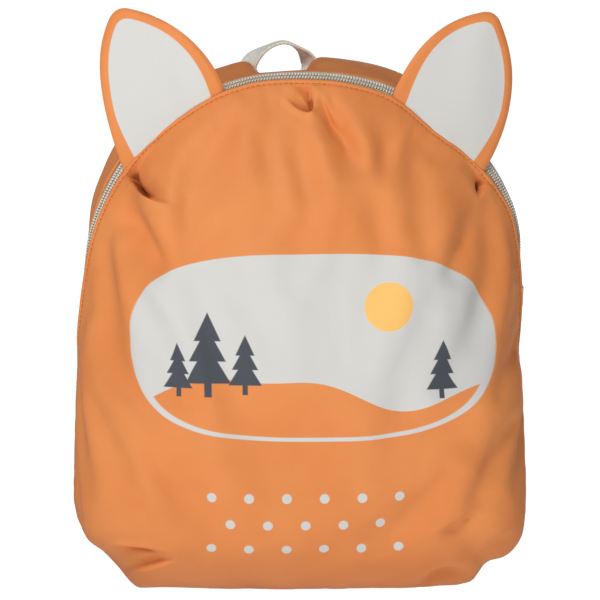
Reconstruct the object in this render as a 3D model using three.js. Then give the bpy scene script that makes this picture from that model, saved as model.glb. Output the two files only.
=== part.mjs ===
// Kids backpack with two ears: a soft zipped bag that stands on its boxed base.
// Millimetres, +Z up. The front faces -Y, and the origin is on the floor under the middle of the base.
import * as THREE from "three";

const { clamp, lerp, smoothstep } = THREE.MathUtils;

// Driving dimensions of the bag
const HALF_WIDTH = 105; // half the width across the lower sides
const ARCH_HALF_WIDTH = 103; // half the width where the sides turn into the arch
const ARCH_START = 128; // height of that place
const ARCH_SQUARENESS = 2.25; // 2 is an ellipse, more gives fuller shoulders
const TOP = 238; // top of the front panel's arched edge
const BASE_HALF = 74; // half the length of the flat base
const CORNER_RISE = 32; // height that the boxed bottom corner climbs
const CORNER_ROUND = 12; // run of the rounding at each end of the corner's slope
const TOP_LEAN = 2.8; // how far the top leans to the right
const CENTRE_HEIGHT = 112; // height of the panels' middle
const WALL = 1.6; // cloth with its coating and seam allowance
const GAP = 0.3; // clearance between pieces that touch
const BELLY = 56; // how far the front panel stands forward
const BELLY_HEIGHT = 112; // height where it stands furthest forward
const TOP_DRAW = 13; // how much the front draws back at the top
const BASE_DRAW = 9; // and at the floor
const FLOOR_FLAT = 1.6; // sag that the floor takes up
const FLOOR_FADE = 9; // height over which that fades
const WRAP_TOP = 80; // up to this height the panel wraps round the bag's sides
const FACE_FROM = 135; // and from this height its edge lies open to the front
const EDGE_FULLNESS = 4; // more gives a flatter face and a steeper edge there
const BACK_Y = 44; // where the gusset ends and the back panel starts
const BACK_THICK = 2.5;
const BACK_CROWN = 3;
const BACK_INSET = -5; // how far the back is inside the outline at the sides
const BACK_RISE = 5; // and how far it stands outside it on the arch

// The seam between the front panel and the rest: how far back it lies on each stretch
const SEAM_FLOOR_Y = 36;
const SEAM_SIDE_Y = 6;
const SEAM_TOP_Y = -22;

// The zip
const ZIP_END = 108; // lowest height that the zip reaches on both sides
const ZIP_WIDTH = 14; // open width between the front panel and the gusset
const ZIP_TILT_SIDE = -0.2; // slope of the zip across its width, on the sides
const ZIP_TILT_TOP = 0.27; // and over the arch
const TAPE_THICK = 0.9;
const TAPE_UNDER = 3; // how far the rear tape goes under its cloth
const TAPE_TUCK = 2; // and the front tape
const TAPE_DROP = WALL + 0.5; // depth of the tape under the front panel's face
const COIL_WIDTH = 4.4;
const COIL_FOOT = 0.45; // clearance of the coil over the tapes
const COIL_CREST = 2.1; // height of its top over the tapes
const COIL_AT = ZIP_WIDTH / 2 + 0.2; // distance of the coil's middle from the seam
const SLIDER_WIDTH = 7.5;
const SLIDER_LENGTH = 11;
const SLIDER_THICK = 1.5;
const PULL_WIDTH = 4.4;
const PULL_LENGTH = 13;

// Ears
const EAR_THICK = 3.6;
const EAR_FOOT = -0.5; // how far the ear's foot is below the front panel's face
const EAR_FOOT_INNER = 37.5; // where the foot starts and ends across the arch
const EAR_FOOT_OUTER = 84;
const EAR_CENTRE = [69, 238];
const EARS = { left: { side: -1, rise: 0.99, shift: 0 }, right: { side: 1, rise: 0.94, shift: -0.8 } };

// Carrying straps and handle
const WEBBING_THICK = 1.6;
const HANDLE_WIDTH = 12;
const PAD_WIDTH = 36;
const PAD_THICK = 7;
const LOWER_WEBBING_WIDTH = 20;
const LOWER_WEBBING_THICK = 1.2;
const LOCK_WIDTH = 29;
const LOCK_THICK = 3;
const LOCK_RAIL = 3.8; // the two side rails
const LOCK_ROUND = 2;

// How many steps each stretch of the right half of the outline is cut into
const OUTLINE_STEPS = { floor: 4, lower_round: 3, corner: 2, upper_round: 3, side: 6, arch: 17 };

// Places where the outline is drawn in, or swells out where the depth is below zero, on one side only
const OUTLINE_DENTS = [
  { name: "right_corner_dart", x: 85, z: 10, depth: 2, width: 6 },
  { name: "right_corner_swell", x: 96, z: 20, depth: -5.5, width: 13 },
  { name: "zip_end", x: 104, z: 110, depth: 1.5, width: 12 },
];

// The front panel's rings: as shares of the way out to the outline, then as shares of its wall
const FACE_RINGS = [0, 0.16, 0.32, 0.46, 0.58, 0.69, 0.78, 0.86];
const WALL_RINGS = [0.86, 0.7, 0.5, 0.25, 0];

// Folds of the front panel, each along a bent line seen from the front.
// The cloth is pushed in by depth along the line, and stands out by swell on the line's upper side.
const FOLDS = [
  { name: "left_pleat", from: [-78, 199], bend: [-75, 180], to: [-55, 181], depth: 8, width: 7, swell: 4 },
  { name: "right_pleat", from: [84, 197], bend: [86, 186], to: [72, 183], depth: 8, width: 7, swell: 4 },
  { name: "top_pleat", from: [2, 234], bend: [6, 226], to: [-2, 217], depth: 4, width: 5, swell: 1 },
  { name: "left_cheek", from: [-76, 186], bend: [-75, 158], to: [-46, 146], depth: 5, width: 12, swell: 2 },
  { name: "right_cheek", from: [82, 184], bend: [80, 160], to: [58, 146], depth: 5, width: 12, swell: 2 },
  { name: "left_side", from: [-86, 175], bend: [-87, 150], to: [-85, 118], depth: 4, width: 8, swell: 0 },
  { name: "left_flank", from: [-86, 118], bend: [-78, 98], to: [-63, 82], depth: 4, width: 8, swell: 1 },
  { name: "right_flank", from: [102, 110], bend: [92, 104], to: [80, 94], depth: 4, width: 8, swell: 1 },
  { name: "left_dart", from: [-88, 20], bend: [-72, 24], to: [-57, 13], depth: 5, width: 8, swell: 2 },
  { name: "right_dart", from: [70, 26], bend: [80, 36], to: [94, 30], depth: 4, width: 8, swell: 1 },
];
const FOLD_SAMPLES = 14;

// The dip of the gusset between the handle's legs
const DIP = { x: -6, half_width: 12, depth: 15, above: 200 };
const GUSSET_STEPS = 5;
const SIDE_CROWN = 1; // how far the gusset bulges between its edges, on the sides
const TOP_CROWN = 2.5; // and on top
const BACK_RINGS = [0, 0.45, 0.8, 1];

// Small vector helpers
const point = (x, y, z) => new THREE.Vector3(x, y, z);
const leanAt = (z) => TOP_LEAN * (z / TOP) ** 2;

// A closed body through matching closed sections. Sections that close on themselves leave no face there.
function loft(sections, closedLoop) {
  const count = sections[0].length;
  const positions = sections.flat();
  const triangles = [];
  const addTriangle = (a, b, c) => {
    const [p, q, r] = [positions[a], positions[b], positions[c]];
    const distinct = p.distanceTo(q) > 1e-4 && q.distanceTo(r) > 1e-4 && r.distanceTo(p) > 1e-4;
    if (distinct) triangles.push([a, b, c]);
  };
  const spans = closedLoop ? sections.length : sections.length - 1;
  for (let i = 0; i < spans; i++) {
    const here = i * count;
    const next = ((i + 1) % sections.length) * count;
    for (let k = 0; k < count; k++) {
      const l = (k + 1) % count;
      addTriangle(here + k, next + k, next + l);
      addTriangle(here + k, next + l, here + l);
    }
  }
  if (!closedLoop) {
    const last = (sections.length - 1) * count;
    for (let k = 1; k < count - 1; k++) {
      addTriangle(0, k, k + 1);
      addTriangle(last, last + k + 1, last + k);
    }
  }
  return facingOut(positions, triangles);
}

// A geometry from points and triangles, turned so that its faces point outwards.
function facingOut(positions, triangles) {
  const cross = new THREE.Vector3();
  const volume = triangles.reduce((sum, [a, b, c]) => {
    return sum + positions[a].dot(cross.crossVectors(positions[b], positions[c]));
  }, 0);
  const index = triangles.flatMap(([a, b, c]) => (volume < 0 ? [a, c, b] : [a, b, c]));
  const geometry = new THREE.BufferGeometry().setFromPoints(positions);
  geometry.setIndex(index);
  return geometry;
}

// The right half of the bag's outline seen from the front, from the middle of the floor to the top.
function rightHalfOutline() {
  const slope = new THREE.Vector2(HALF_WIDTH - BASE_HALF, CORNER_RISE).normalize();
  const half = new THREE.Path();
  half.moveTo(0, 0);
  half.lineTo(BASE_HALF - CORNER_ROUND, 0);
  half.quadraticCurveTo(BASE_HALF, 0, BASE_HALF + slope.x * CORNER_ROUND, slope.y * CORNER_ROUND);
  half.lineTo(HALF_WIDTH - slope.x * CORNER_ROUND, CORNER_RISE - slope.y * CORNER_ROUND);
  half.quadraticCurveTo(HALF_WIDTH, CORNER_RISE, HALF_WIDTH, CORNER_RISE + CORNER_ROUND);
  half.lineTo(ARCH_HALF_WIDTH, ARCH_START);
  const steps = Object.values(OUTLINE_STEPS);
  const lower = half.curves.flatMap((curve, k) => {
    return Array.from({ length: steps[k] }, (_, i) => curve.getPoint(i / steps[k]));
  });
  const arch = Array.from({ length: OUTLINE_STEPS.arch + 1 }, (_, i) => {
    const angle = ((Math.PI / 2) * i) / OUTLINE_STEPS.arch;
    const x = ARCH_HALF_WIDTH * Math.max(0, Math.cos(angle)) ** (2 / ARCH_SQUARENESS);
    return new THREE.Vector2(i === OUTLINE_STEPS.arch ? 0 : x, archHeight(x));
  });
  return [...lower, ...arch];
}

// Height of the arch over a place across it.
function archHeight(x) {
  const share = Math.min(1, Math.abs(x) / ARCH_HALF_WIDTH);
  return ARCH_START + (TOP - ARCH_START) * (1 - share ** ARCH_SQUARENESS) ** (1 / ARCH_SQUARENESS);
}

// How far back the seam lies at a height of the outline.
function seamDepth(z) {
  const low = lerp(SEAM_FLOOR_Y, SEAM_SIDE_Y, smoothstep(z, 0, 45));
  const climb = Math.max(0, (z - ARCH_START + 8) / (TOP - ARCH_START + 8));
  return lerp(low, SEAM_TOP_Y, climb ** 1.2);
}

// Stations all round the outline, anticlockwise from the middle of the floor seen from the front.
function outlineStations() {
  const right = rightHalfOutline();
  const left = right.slice(1, -1).reverse().map((p) => new THREE.Vector2(-p.x, p.y));
  const loop = [...right, ...left];
  const normalAt = (i) => {
    const before = loop[(i + loop.length - 1) % loop.length];
    const after = loop[(i + 1) % loop.length];
    return new THREE.Vector2(after.y - before.y, before.x - after.x).normalize();
  };
  const seamGapAt = (i) => {
    const before = loop[(i + loop.length - 1) % loop.length];
    const after = loop[(i + 1) % loop.length];
    const slope = (seamDepth(after.y) - seamDepth(before.y)) / after.distanceTo(before);
    return GAP * Math.hypot(1, slope);
  };
  return loop.map((p, i) => {
    const normal = normalAt(i);
    const wrap = lerp(6, 3.2, smoothstep(p.y, 0, 60));
    const open = smoothstep(p.y, WRAP_TOP, FACE_FROM);
    const drawn = OUTLINE_DENTS.reduce((sum, dent) => {
      const away = ((p.x - dent.x) ** 2 + (p.y - dent.z) ** 2) / dent.width ** 2;
      return sum + dent.depth * Math.exp(-away);
    }, 0);
    const z = p.y - drawn * normal.y;
    return {
      x: p.x - drawn * normal.x + leanAt(z),
      z,
      normal,
      seamY: seamDepth(z),
      seamGap: seamGapAt(i),
      zipped: z >= ZIP_END ? 1 : 0,
      tilt: lerp(ZIP_TILT_SIDE, ZIP_TILT_TOP, smoothstep(z, 125, 205)),
      crown: smoothstep(z, 0, 40) * lerp(SIDE_CROWN, TOP_CROWN, smoothstep(z, 160, 225)),
      fullness: lerp(wrap, EDGE_FULLNESS, open),
      roundness: lerp(1 / wrap, 1, open),
      open,
      backOffset: smoothstep(z, 0, 40) * lerp(BACK_INSET, BACK_RISE, smoothstep(z, 130, 220)),
    };
  });
}

const stations = outlineStations();

// A point off the outline: across is measured back from the seam, out along the outline's normal.
function offOutline(station, y, out) {
  return point(station.x + station.normal.x * out, y, station.z + station.normal.y * out);
}

// How far the front stands forward at a height.
function frontDepth(z) {
  const above = TOP_DRAW * Math.max(0, (z - BELLY_HEIGHT) / (TOP - BELLY_HEIGHT)) ** 2;
  const below = BASE_DRAW * Math.max(0, (BELLY_HEIGHT - z) / BELLY_HEIGHT) ** 2;
  return -BELLY + above + below;
}

// Each fold's line as samples, with the share of the way along it.
const foldLines = FOLDS.map((fold) => {
  const [from, bend, to] = [fold.from, fold.bend, fold.to].map((p) => new THREE.Vector2(...p));
  const curve = new THREE.QuadraticBezierCurve(from, bend, to);
  return { ...fold, samples: curve.getPoints(FOLD_SAMPLES) };
});

// How far the folds push the front panel out (or in) at a place seen from the front.
function foldPush(x, z) {
  return foldLines.reduce((sum, fold) => {
    let nearest = { distance: Infinity };
    fold.samples.forEach((sample, k) => {
      const distance = Math.hypot(x - sample.x, z - sample.y);
      if (distance < nearest.distance) nearest = { distance, k, over: z - sample.y };
    });
    const along = nearest.k / FOLD_SAMPLES;
    const fade = smoothstep(along, 0, 0.15) * (1 - smoothstep(along, 0.7, 1) * 0.7);
    const spread = nearest.distance / fold.width;
    const valley = -fold.depth * Math.exp(-(spread ** 2));
    const above = nearest.over > 0 ? fold.swell * Math.exp(-((spread - 1.7) ** 2)) : 0;
    return sum + fade * (valley + above);
  }, 0);
}

// A place on the plain front panel: face runs out to the outline, wall runs from there back to the seam.
function frontPanelPoint(station, ring) {
  const { fullness, roundness } = station;
  const forwardAt = (face) => (1 - face ** fullness) ** roundness;
  const forward = ring.face === undefined ? forwardAt(FACE_RINGS.at(-1)) * ring.wall : forwardAt(ring.face);
  const outward = ring.face === undefined ? (1 - forward ** (1 / roundness)) ** (1 / fullness) : ring.face;
  const z = lerp(CENTRE_HEIGHT, station.z, outward);
  const x = lerp(leanAt(CENTRE_HEIGHT), station.x, outward);
  return { place: point(x, lerp(station.seamY, frontDepth(z), forward), z), forward };
}

// The surface normals of a grid of points [ring][station] that goes all round.
function gridNormals(grid) {
  const around = grid[0].length;
  const index = [];
  for (let j = 0; j < grid.length - 1; j++) {
    for (let i = 0; i < around; i++) {
      const [a, b] = [j * around + i, j * around + ((i + 1) % around)];
      const [c, d] = [a + around, b + around];
      index.push(a, c, d, a, d, b);
    }
  }
  const surface = new THREE.BufferGeometry().setFromPoints(grid.flat());
  surface.setIndex(index);
  surface.computeVertexNormals();
  const normals = surface.getAttribute("normal");
  return grid.map((ring, j) => ring.map((_, i) => new THREE.Vector3().fromBufferAttribute(normals, j * around + i)));
}

// The front panel: face, sides and floor of the bag in one cloth, from its middle to the seam.
function frontPanel() {
  const rings = [
    ...FACE_RINGS.map((face) => ({ face })),
    ...WALL_RINGS.slice(1).map((wall) => ({ wall: wall / WALL_RINGS[0] })),
  ];
  const plain = rings.map((ring) => stations.map((station) => frontPanelPoint(station, ring)));
  const normals = gridNormals(plain.map((ring) => ring.map(({ place }) => place)));
  const flatten = (z) => Math.max(0, z - FLOOR_FLAT * Math.exp(-z / FLOOR_FADE));
  const outer = plain.map((ring, j) =>
    ring.map(({ place, forward }, i) => {
      const push = foldPush(place.x, place.z) * smoothstep(forward, 0.25, 0.6);
      const pushed = place.clone().addScaledVector(normals[j][i], push);
      return point(pushed.x, pushed.y, flatten(pushed.z));
    }),
  );
  const middle = outer[0][0];
  outer[0] = outer[0].map(() => middle.clone());
  const outerNormals = gridNormals(outer);
  outerNormals[0] = outerNormals[0].map(() => point(0, -1, 0));
  const inner = outer.map((ring, j) => ring.map((p, i) => p.clone().addScaledVector(outerNormals[j][i], -WALL)));
  inner.at(-1).forEach((p, i) => p.setY(stations[i].seamY));
  return loft(stations.map((_, i) => wallSection(outer, inner, i)), true);
}

// The closed section of a wall at one station: out along its outer face and back along its inner one.
function wallSection(outer, inner, i) {
  return [...outer.map((ring) => ring[i]), ...inner.map((ring) => ring[i]).reverse()];
}

// How far the gusset sags between the handle's legs.
function dipAt(station, share) {
  if (station.z < DIP.above) return 0;
  return DIP.depth * Math.exp(-(((station.x - DIP.x) / DIP.half_width) ** 4)) * smoothstep(share, 0.1, 0.5);
}

// The gusset: the band round the bag from the zip, or the seam, to the back panel.
function gusset() {
  const shares = Array.from({ length: GUSSET_STEPS + 1 }, (_, k) => k / GUSSET_STEPS);
  const sections = stations.map((station) => {
    const start = station.seamY + station.seamGap + station.zipped * ZIP_WIDTH;
    const startOut = station.zipped * station.tilt * ZIP_WIDTH;
    const outAt = (share) => {
      const crown = station.crown * Math.sin(Math.PI * share);
      return lerp(startOut, station.backOffset, share) + crown - dipAt(station, share);
    };
    const outer = shares.map((share) => offOutline(station, lerp(start, BACK_Y, share), outAt(share)));
    const inner = shares.map((share) => offOutline(station, lerp(start, BACK_Y, share), outAt(share) - WALL));
    return [...outer, ...inner.reverse()];
  });
  return loft(sections, true);
}

// The back panel: a plain cloth sheet with a slight crown that closes the gusset.
function backPanel() {
  const sections = stations.map((station) => {
    const edgeOut = station.backOffset - dipAt(station, 1);
    const edge = offOutline(station, 0, edgeOut);
    const at = (share, face) => {
      const y = BACK_Y + GAP + face * BACK_THICK + BACK_CROWN * (1 - share ** 2);
      return point(lerp(leanAt(CENTRE_HEIGHT), edge.x, share), y, lerp(CENTRE_HEIGHT, edge.z, share));
    };
    const outer = BACK_RINGS.map((share) => at(share, 1));
    const inner = BACK_RINGS.map((share) => at(share, 0));
    return [...outer, ...inner.reverse()];
  });
  return loft(sections, true);
}

// The stretch of stations that the zip covers, with some more at each end that go under the gusset.
function zipStations(more) {
  const first = stations.findIndex((station) => station.zipped);
  const last = stations.findLastIndex((station) => station.zipped);
  return stations.slice(first - more, last + 1 + more);
}

// How steeply the front panel falls away from its edge at a station.
function edgeFall(station) {
  const reach = Math.hypot(station.x - leanAt(CENTRE_HEIGHT), station.z - CENTRE_HEIGHT);
  return (station.open * reach) / (EDGE_FULLNESS * (station.seamY - frontDepth(station.z)));
}

// A place on the zip: across runs back from the seam, out is measured from the tape's face.
// The tape slopes between the two cloths, follows the front panel under its edge and lies level under the gusset.
function onZip(station, across, out) {
  const slope = station.tilt * clamp(across, 0, ZIP_WIDTH);
  const tuck = 1.9 * edgeFall(station) * Math.min(0, across);
  return offOutline(station, station.seamY + across, slope + tuck - TAPE_DROP + out);
}

// A strip that follows the zip, with its section as places across and out.
function zipStrip(profile, more) {
  const sections = zipStations(more).map((station) => {
    return profile.map(([across, out]) => onZip(station, across, out));
  });
  return loft(sections, false);
}

function zipTape(from, bend, to) {
  const faces = [from, bend, to].map((across) => [across, 0]);
  const undersides = [to, bend, from].map((across) => [across, -TAPE_THICK]);
  return zipStrip([...faces, ...undersides], 1);
}

function zipCoil() {
  const half = COIL_WIDTH / 2;
  const shoulder = lerp(COIL_FOOT, COIL_CREST, 0.55);
  const profile = [
    [COIL_AT - half, COIL_FOOT],
    [COIL_AT - half, shoulder],
    [COIL_AT - half * 0.5, COIL_CREST],
    [COIL_AT + half * 0.5, COIL_CREST],
    [COIL_AT + half, shoulder],
    [COIL_AT + half, COIL_FOOT],
  ];
  return zipStrip(profile, 0);
}

// The slider with its pull: one plain flat piece that lies on the coil at the zip's right-hand end.
function zipSlider() {
  const outline = new THREE.Shape();
  const [wide, slim] = [SLIDER_WIDTH / 2, PULL_WIDTH / 2];
  const foot = -SLIDER_LENGTH - PULL_LENGTH;
  outline.moveTo(-wide, 0);
  outline.lineTo(-wide, -SLIDER_LENGTH * 0.6);
  outline.lineTo(-slim, -SLIDER_LENGTH);
  outline.lineTo(-slim, foot + slim);
  outline.absarc(0, foot + slim, slim, Math.PI, 0, false);
  outline.lineTo(slim, -SLIDER_LENGTH);
  outline.lineTo(wide, -SLIDER_LENGTH * 0.6);
  outline.lineTo(wide, 0);
  const plate = new THREE.ExtrudeGeometry(outline, { depth: SLIDER_THICK, bevelEnabled: false, curveSegments: 5 });
  const [low, middle, high] = zipStations(0).map((station) => onZip(station, COIL_AT, COIL_CREST + 2 * GAP));
  const upward = high.clone().sub(low).normalize();
  const outward = new THREE.Vector3().crossVectors(point(0, 1, 0), upward).normalize();
  const backward = new THREE.Vector3().crossVectors(upward, outward);
  const bulge = Math.max(0, middle.sub(low).dot(outward));
  const seat = low.addScaledVector(outward, bulge).addScaledVector(upward, SLIDER_LENGTH + PULL_LENGTH);
  const frame = new THREE.Matrix4().makeBasis(backward, upward, outward).setPosition(seat);
  return plate.applyMatrix4(frame);
}

// The right ear's outline seen from the front; the left ear mirrors it.
function earOutline() {
  const foot = [EAR_FOOT_INNER, 46, 54, 62, 70, 77, EAR_FOOT_OUTER].map((x) => [x, archHeight(x) + EAR_FOOT]);
  const ear = new THREE.Shape();
  ear.moveTo(...foot[0]);
  foot.slice(1).forEach((p) => ear.lineTo(...p));
  ear.bezierCurveTo(96, 222, 98, 245, 90, 264);
  ear.quadraticCurveTo(87, 270.5, 80, 268.5);
  ear.bezierCurveTo(58.5, 264, 45, 248, ...foot[0]);
  return ear.getPoints(8).slice(0, -1);
}

// An ear: two cloths sewn face to face and turned, thin at the edge and flat in the middle.
function ear({ side, rise, shift }) {
  const pivot = archHeight(EAR_FOOT_INNER);
  const shares = [1, 0.94, 0.72, 0];
  const halfThicks = [0.22, 0.4, 0.5, 0.5].map((share) => share * EAR_THICK);
  const sections = earOutline().map((edge) => {
    const at = (k, face) => {
      const x = lerp(EAR_CENTRE[0], edge.x, shares[k]);
      const level = lerp(EAR_CENTRE[1], edge.y, shares[k]);
      const z = level > pivot ? lerp(pivot, level, rise) : level;
      const y = seamDepth(archHeight(x)) + GAP + EAR_THICK / 2 + face * halfThicks[k];
      return point(side * x + shift + leanAt(z), y, z);
    };
    const front = shares.map((_, k) => at(k, -1)).reverse();
    const rear = shares.map((_, k) => at(k, 1));
    return [...front, ...rear];
  });
  return loft(sections, true);
}

// A band along a path, with its section given in the plane across the path.
function band(path, steps, sectionAt, widthDirectionAt) {
  const sections = Array.from({ length: steps + 1 }, (_, k) => {
    const share = k / steps;
    const along = path.getTangentAt(share);
    const wide = widthDirectionAt(share);
    wide.addScaledVector(along, -wide.dot(along)).normalize();
    const thick = new THREE.Vector3().crossVectors(along, wide);
    return sectionAt(share).map(([w, t]) => path.getPointAt(share).addScaledVector(wide, w).addScaledVector(thick, t));
  });
  return loft(sections, false);
}

// A flat section of a webbing.
function flatSection(width, thick) {
  const [w, t] = [width / 2, thick / 2];
  return [[-w, -t], [w, -t], [w, t], [-w, t]];
}

// The grab handle: a webbing loop whose legs lie flat on the back and turn over at the top.
const HANDLE_PATH = [
  { name: "left_end", x: -18.5, y: 49, z: 226 },
  { name: "left_leg", x: -18.5, y: 49, z: 238 },
  { name: "left_shoulder", x: -12, y: 48.4, z: 246 },
  { name: "crown", x: -4, y: 47, z: 250 },
  { name: "right_shoulder", x: 3.5, y: 48.4, z: 245.5 },
  { name: "right_leg", x: 6.5, y: 49, z: 238 },
  { name: "right_end", x: 6.5, y: 49, z: 226 },
];

function grabHandle() {
  const path = new THREE.CatmullRomCurve3(HANDLE_PATH.map(({ x, y, z }) => point(x, y, z)));
  const turn = (share) => (Math.PI / 2) * (smoothstep(share, 0.14, 0.44) + smoothstep(share, 0.58, 0.84));
  const wideAt = (share) => point(Math.cos(turn(share)), Math.sin(turn(share)), 0);
  return band(path, 26, () => flatSection(HANDLE_WIDTH, WEBBING_THICK), wideAt);
}

// The right shoulder strap's pad, from the top of the back panel down to its lock; the left one mirrors it.
const PAD_PATH = [
  { name: "top_seam", x: 30, y: 52, z: 220 },
  { name: "shoulder", x: 34, y: 57.5, z: 203 },
  { name: "upper_bow", x: 43, y: 66, z: 170 },
  { name: "bow", x: 53, y: 69, z: 135 },
  { name: "lower_bow", x: 60, y: 67, z: 103 },
  { name: "lock_end", x: 65, y: 62.5, z: 84 },
];
const STRAP_FOOT = { x: 80, y: 49, z: 28 }; // where the lower webbing is sewn in

function mirrored(geometry, side) {
  if (side > 0) return geometry;
  const positions = geometry.getAttribute("position");
  const points = Array.from({ length: positions.count }, (_, i) => {
    return new THREE.Vector3().fromBufferAttribute(positions, i).multiply(point(-1, 1, 1));
  });
  const index = geometry.index ? [...geometry.index.array] : points.map((_, i) => i);
  const triangles = Array.from({ length: index.length / 3 }, (_, k) => index.slice(3 * k, 3 * k + 3));
  return facingOut(points, triangles);
}

function strapPad(side) {
  const path = new THREE.CatmullRomCurve3(PAD_PATH.map(({ x, y, z }) => point(x, y, z)));
  const sectionAt = (share) => {
    const narrow = lerp(1, 0.72, smoothstep(share, 0.75, 1));
    const [w, t] = [(PAD_WIDTH / 2) * narrow, PAD_THICK / 2];
    const edge = w - t * 0.9;
    return [[-w, -t * 0.3], [-edge, -t], [edge, -t], [w, -t * 0.3], [w, t * 0.3], [edge, t], [-edge, t], [-w, t * 0.3]];
  };
  return mirrored(band(path, 18, sectionAt, () => point(1, 0, 0)), side);
}

// The frame of the lock and the lower webbing: down the strap, across it, and away from the back.
function lowerStrapFrame() {
  const end = PAD_PATH.at(-1);
  const start = point(end.x, end.y, end.z);
  const down = point(STRAP_FOOT.x, STRAP_FOOT.y, STRAP_FOOT.z).sub(start).normalize();
  const across = point(1, 0, 0);
  across.addScaledVector(down, -across.dot(down)).normalize();
  const away = new THREE.Vector3().crossVectors(down, across);
  if (away.y < 0) away.negate();
  return { start, down, across, away };
}

// The places of the lock's three bars down the strap
const LOCK_BARS = [
  { name: "top_bar", from: GAP, to: 3.5 + GAP },
  { name: "middle_bar", from: 8.3, to: 11.3 },
  { name: "lower_bar", from: 15.8, to: 19.3 },
];

// The ladder lock: a moulded frame with two slots that grips the webbing.
function ladderLock(side) {
  const { start, down, across, away } = lowerStrapFrame();
  const half = LOCK_WIDTH / 2;
  const foot = LOCK_BARS.at(-1).to;
  const head = LOCK_BARS[0].from;
  const frame = new THREE.Shape();
  frame.moveTo(-half + LOCK_ROUND, head);
  frame.lineTo(half - LOCK_ROUND, head);
  frame.lineTo(half, head + LOCK_ROUND);
  frame.lineTo(half, foot - LOCK_ROUND);
  frame.lineTo(half - LOCK_ROUND, foot);
  frame.lineTo(-half + LOCK_ROUND, foot);
  frame.lineTo(-half, foot - LOCK_ROUND);
  frame.lineTo(-half, head + LOCK_ROUND);
  const inside = half - LOCK_RAIL;
  LOCK_BARS.slice(1).forEach((bar, k) => {
    const slot = new THREE.Path();
    slot.moveTo(-inside, LOCK_BARS[k].to);
    slot.lineTo(-inside, bar.from);
    slot.lineTo(inside, bar.from);
    slot.lineTo(inside, LOCK_BARS[k].to);
    frame.holes.push(slot);
  });
  const plate = new THREE.ExtrudeGeometry(frame, { depth: LOCK_THICK, bevelEnabled: false });
  plate.translate(0, 0, -LOCK_THICK / 2);
  const turned = new THREE.Matrix4().makeBasis(across, down, away).setPosition(start);
  return mirrored(turnedOut(plate.applyMatrix4(turned)), side);
}

// The same geometry with its faces pointing outwards, whatever the frame it was turned into.
function turnedOut(geometry) {
  const positions = geometry.getAttribute("position");
  const points = Array.from({ length: positions.count }, (_, i) => new THREE.Vector3().fromBufferAttribute(positions, i));
  const index = geometry.index ? [...geometry.index.array] : points.map((_, i) => i);
  return facingOut(points, Array.from({ length: index.length / 3 }, (_, k) => index.slice(3 * k, 3 * k + 3)));
}

// The lower webbing's way through the lock, in the lock's frame: down the strap, and away from the back
const WEBBING_ROUTE = [
  { name: "foot", down: 58, away: 0.4 },
  { name: "rise", down: 46, away: -1.4 },
  { name: "under_lower_bar", down: 20, away: -2.6 },
  { name: "into_lower_slot", down: 14.6, away: -2.4 },
  { name: "out_of_lower_slot", down: 12.2, away: 2.1 },
  { name: "over_middle_bar", down: 10.6, away: 2.6 },
  { name: "before_upper_slot", down: 7.9, away: 2.6 },
  { name: "in_upper_slot", down: 6, away: 0.2 },
  { name: "tail_turn", down: 6.6, away: -3.4 },
  { name: "tail", down: 10, away: -4.6 },
  { name: "tail_end", down: 34, away: -5 },
];

// The lower webbing: up from the seam, over the lock's middle bar and down again as a short tail.
function lowerWebbing(side) {
  const { start, down, across, away } = lowerStrapFrame();
  const route = WEBBING_ROUTE.map((p) => new THREE.Vector2(p.down, p.away));
  const sections = route.map((p, k) => {
    const before = route[Math.max(0, k - 1)];
    const after = route[Math.min(route.length - 1, k + 1)];
    const arriving = p.clone().sub(before);
    const leaving = after.clone().sub(p);
    const along = arriving.normalize().add(leaving.normalize()).normalize();
    const straight = k === 0 || k === route.length - 1 ? along : leaving;
    const widen = 1 / Math.max(0.6, along.dot(straight));
    const off = new THREE.Vector2(-along.y, along.x).multiplyScalar((LOWER_WEBBING_THICK / 2) * widen);
    const at = (w, t) => {
      return start.clone()
        .addScaledVector(down, p.x + off.x * t)
        .addScaledVector(away, p.y + off.y * t)
        .addScaledVector(across, w);
    };
    const half = LOWER_WEBBING_WIDTH / 2;
    return [at(-half, -1), at(half, -1), at(half, 1), at(-half, 1)];
  });
  return mirrored(loft(sections, false), side);
}

// Finishes
const orangeCloth = new THREE.MeshStandardMaterial({ color: 0xe58f58, roughness: 0.55, metalness: 0 });
const greyWebbing = new THREE.MeshStandardMaterial({ color: 0xcdc8be, roughness: 0.9, metalness: 0 });
const zipTapeCloth = new THREE.MeshStandardMaterial({ color: 0xd6cab8, roughness: 0.9, metalness: 0 });
const zipCoilPlastic = new THREE.MeshStandardMaterial({ color: 0x8d877d, roughness: 0.5, metalness: 0 });
const sliderMetal = new THREE.MeshStandardMaterial({ color: 0xb9b4aa, roughness: 0.35, metalness: 0.9 });
const lockPlastic = new THREE.MeshStandardMaterial({ color: 0xb8b2a7, roughness: 0.5, metalness: 0 });

// The bag, piece by piece
const bag = new THREE.Group();
function addPiece(name, geometry, material) {
  const piece = new THREE.Mesh(geometry, material);
  piece.name = name;
  bag.add(piece);
}

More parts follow.
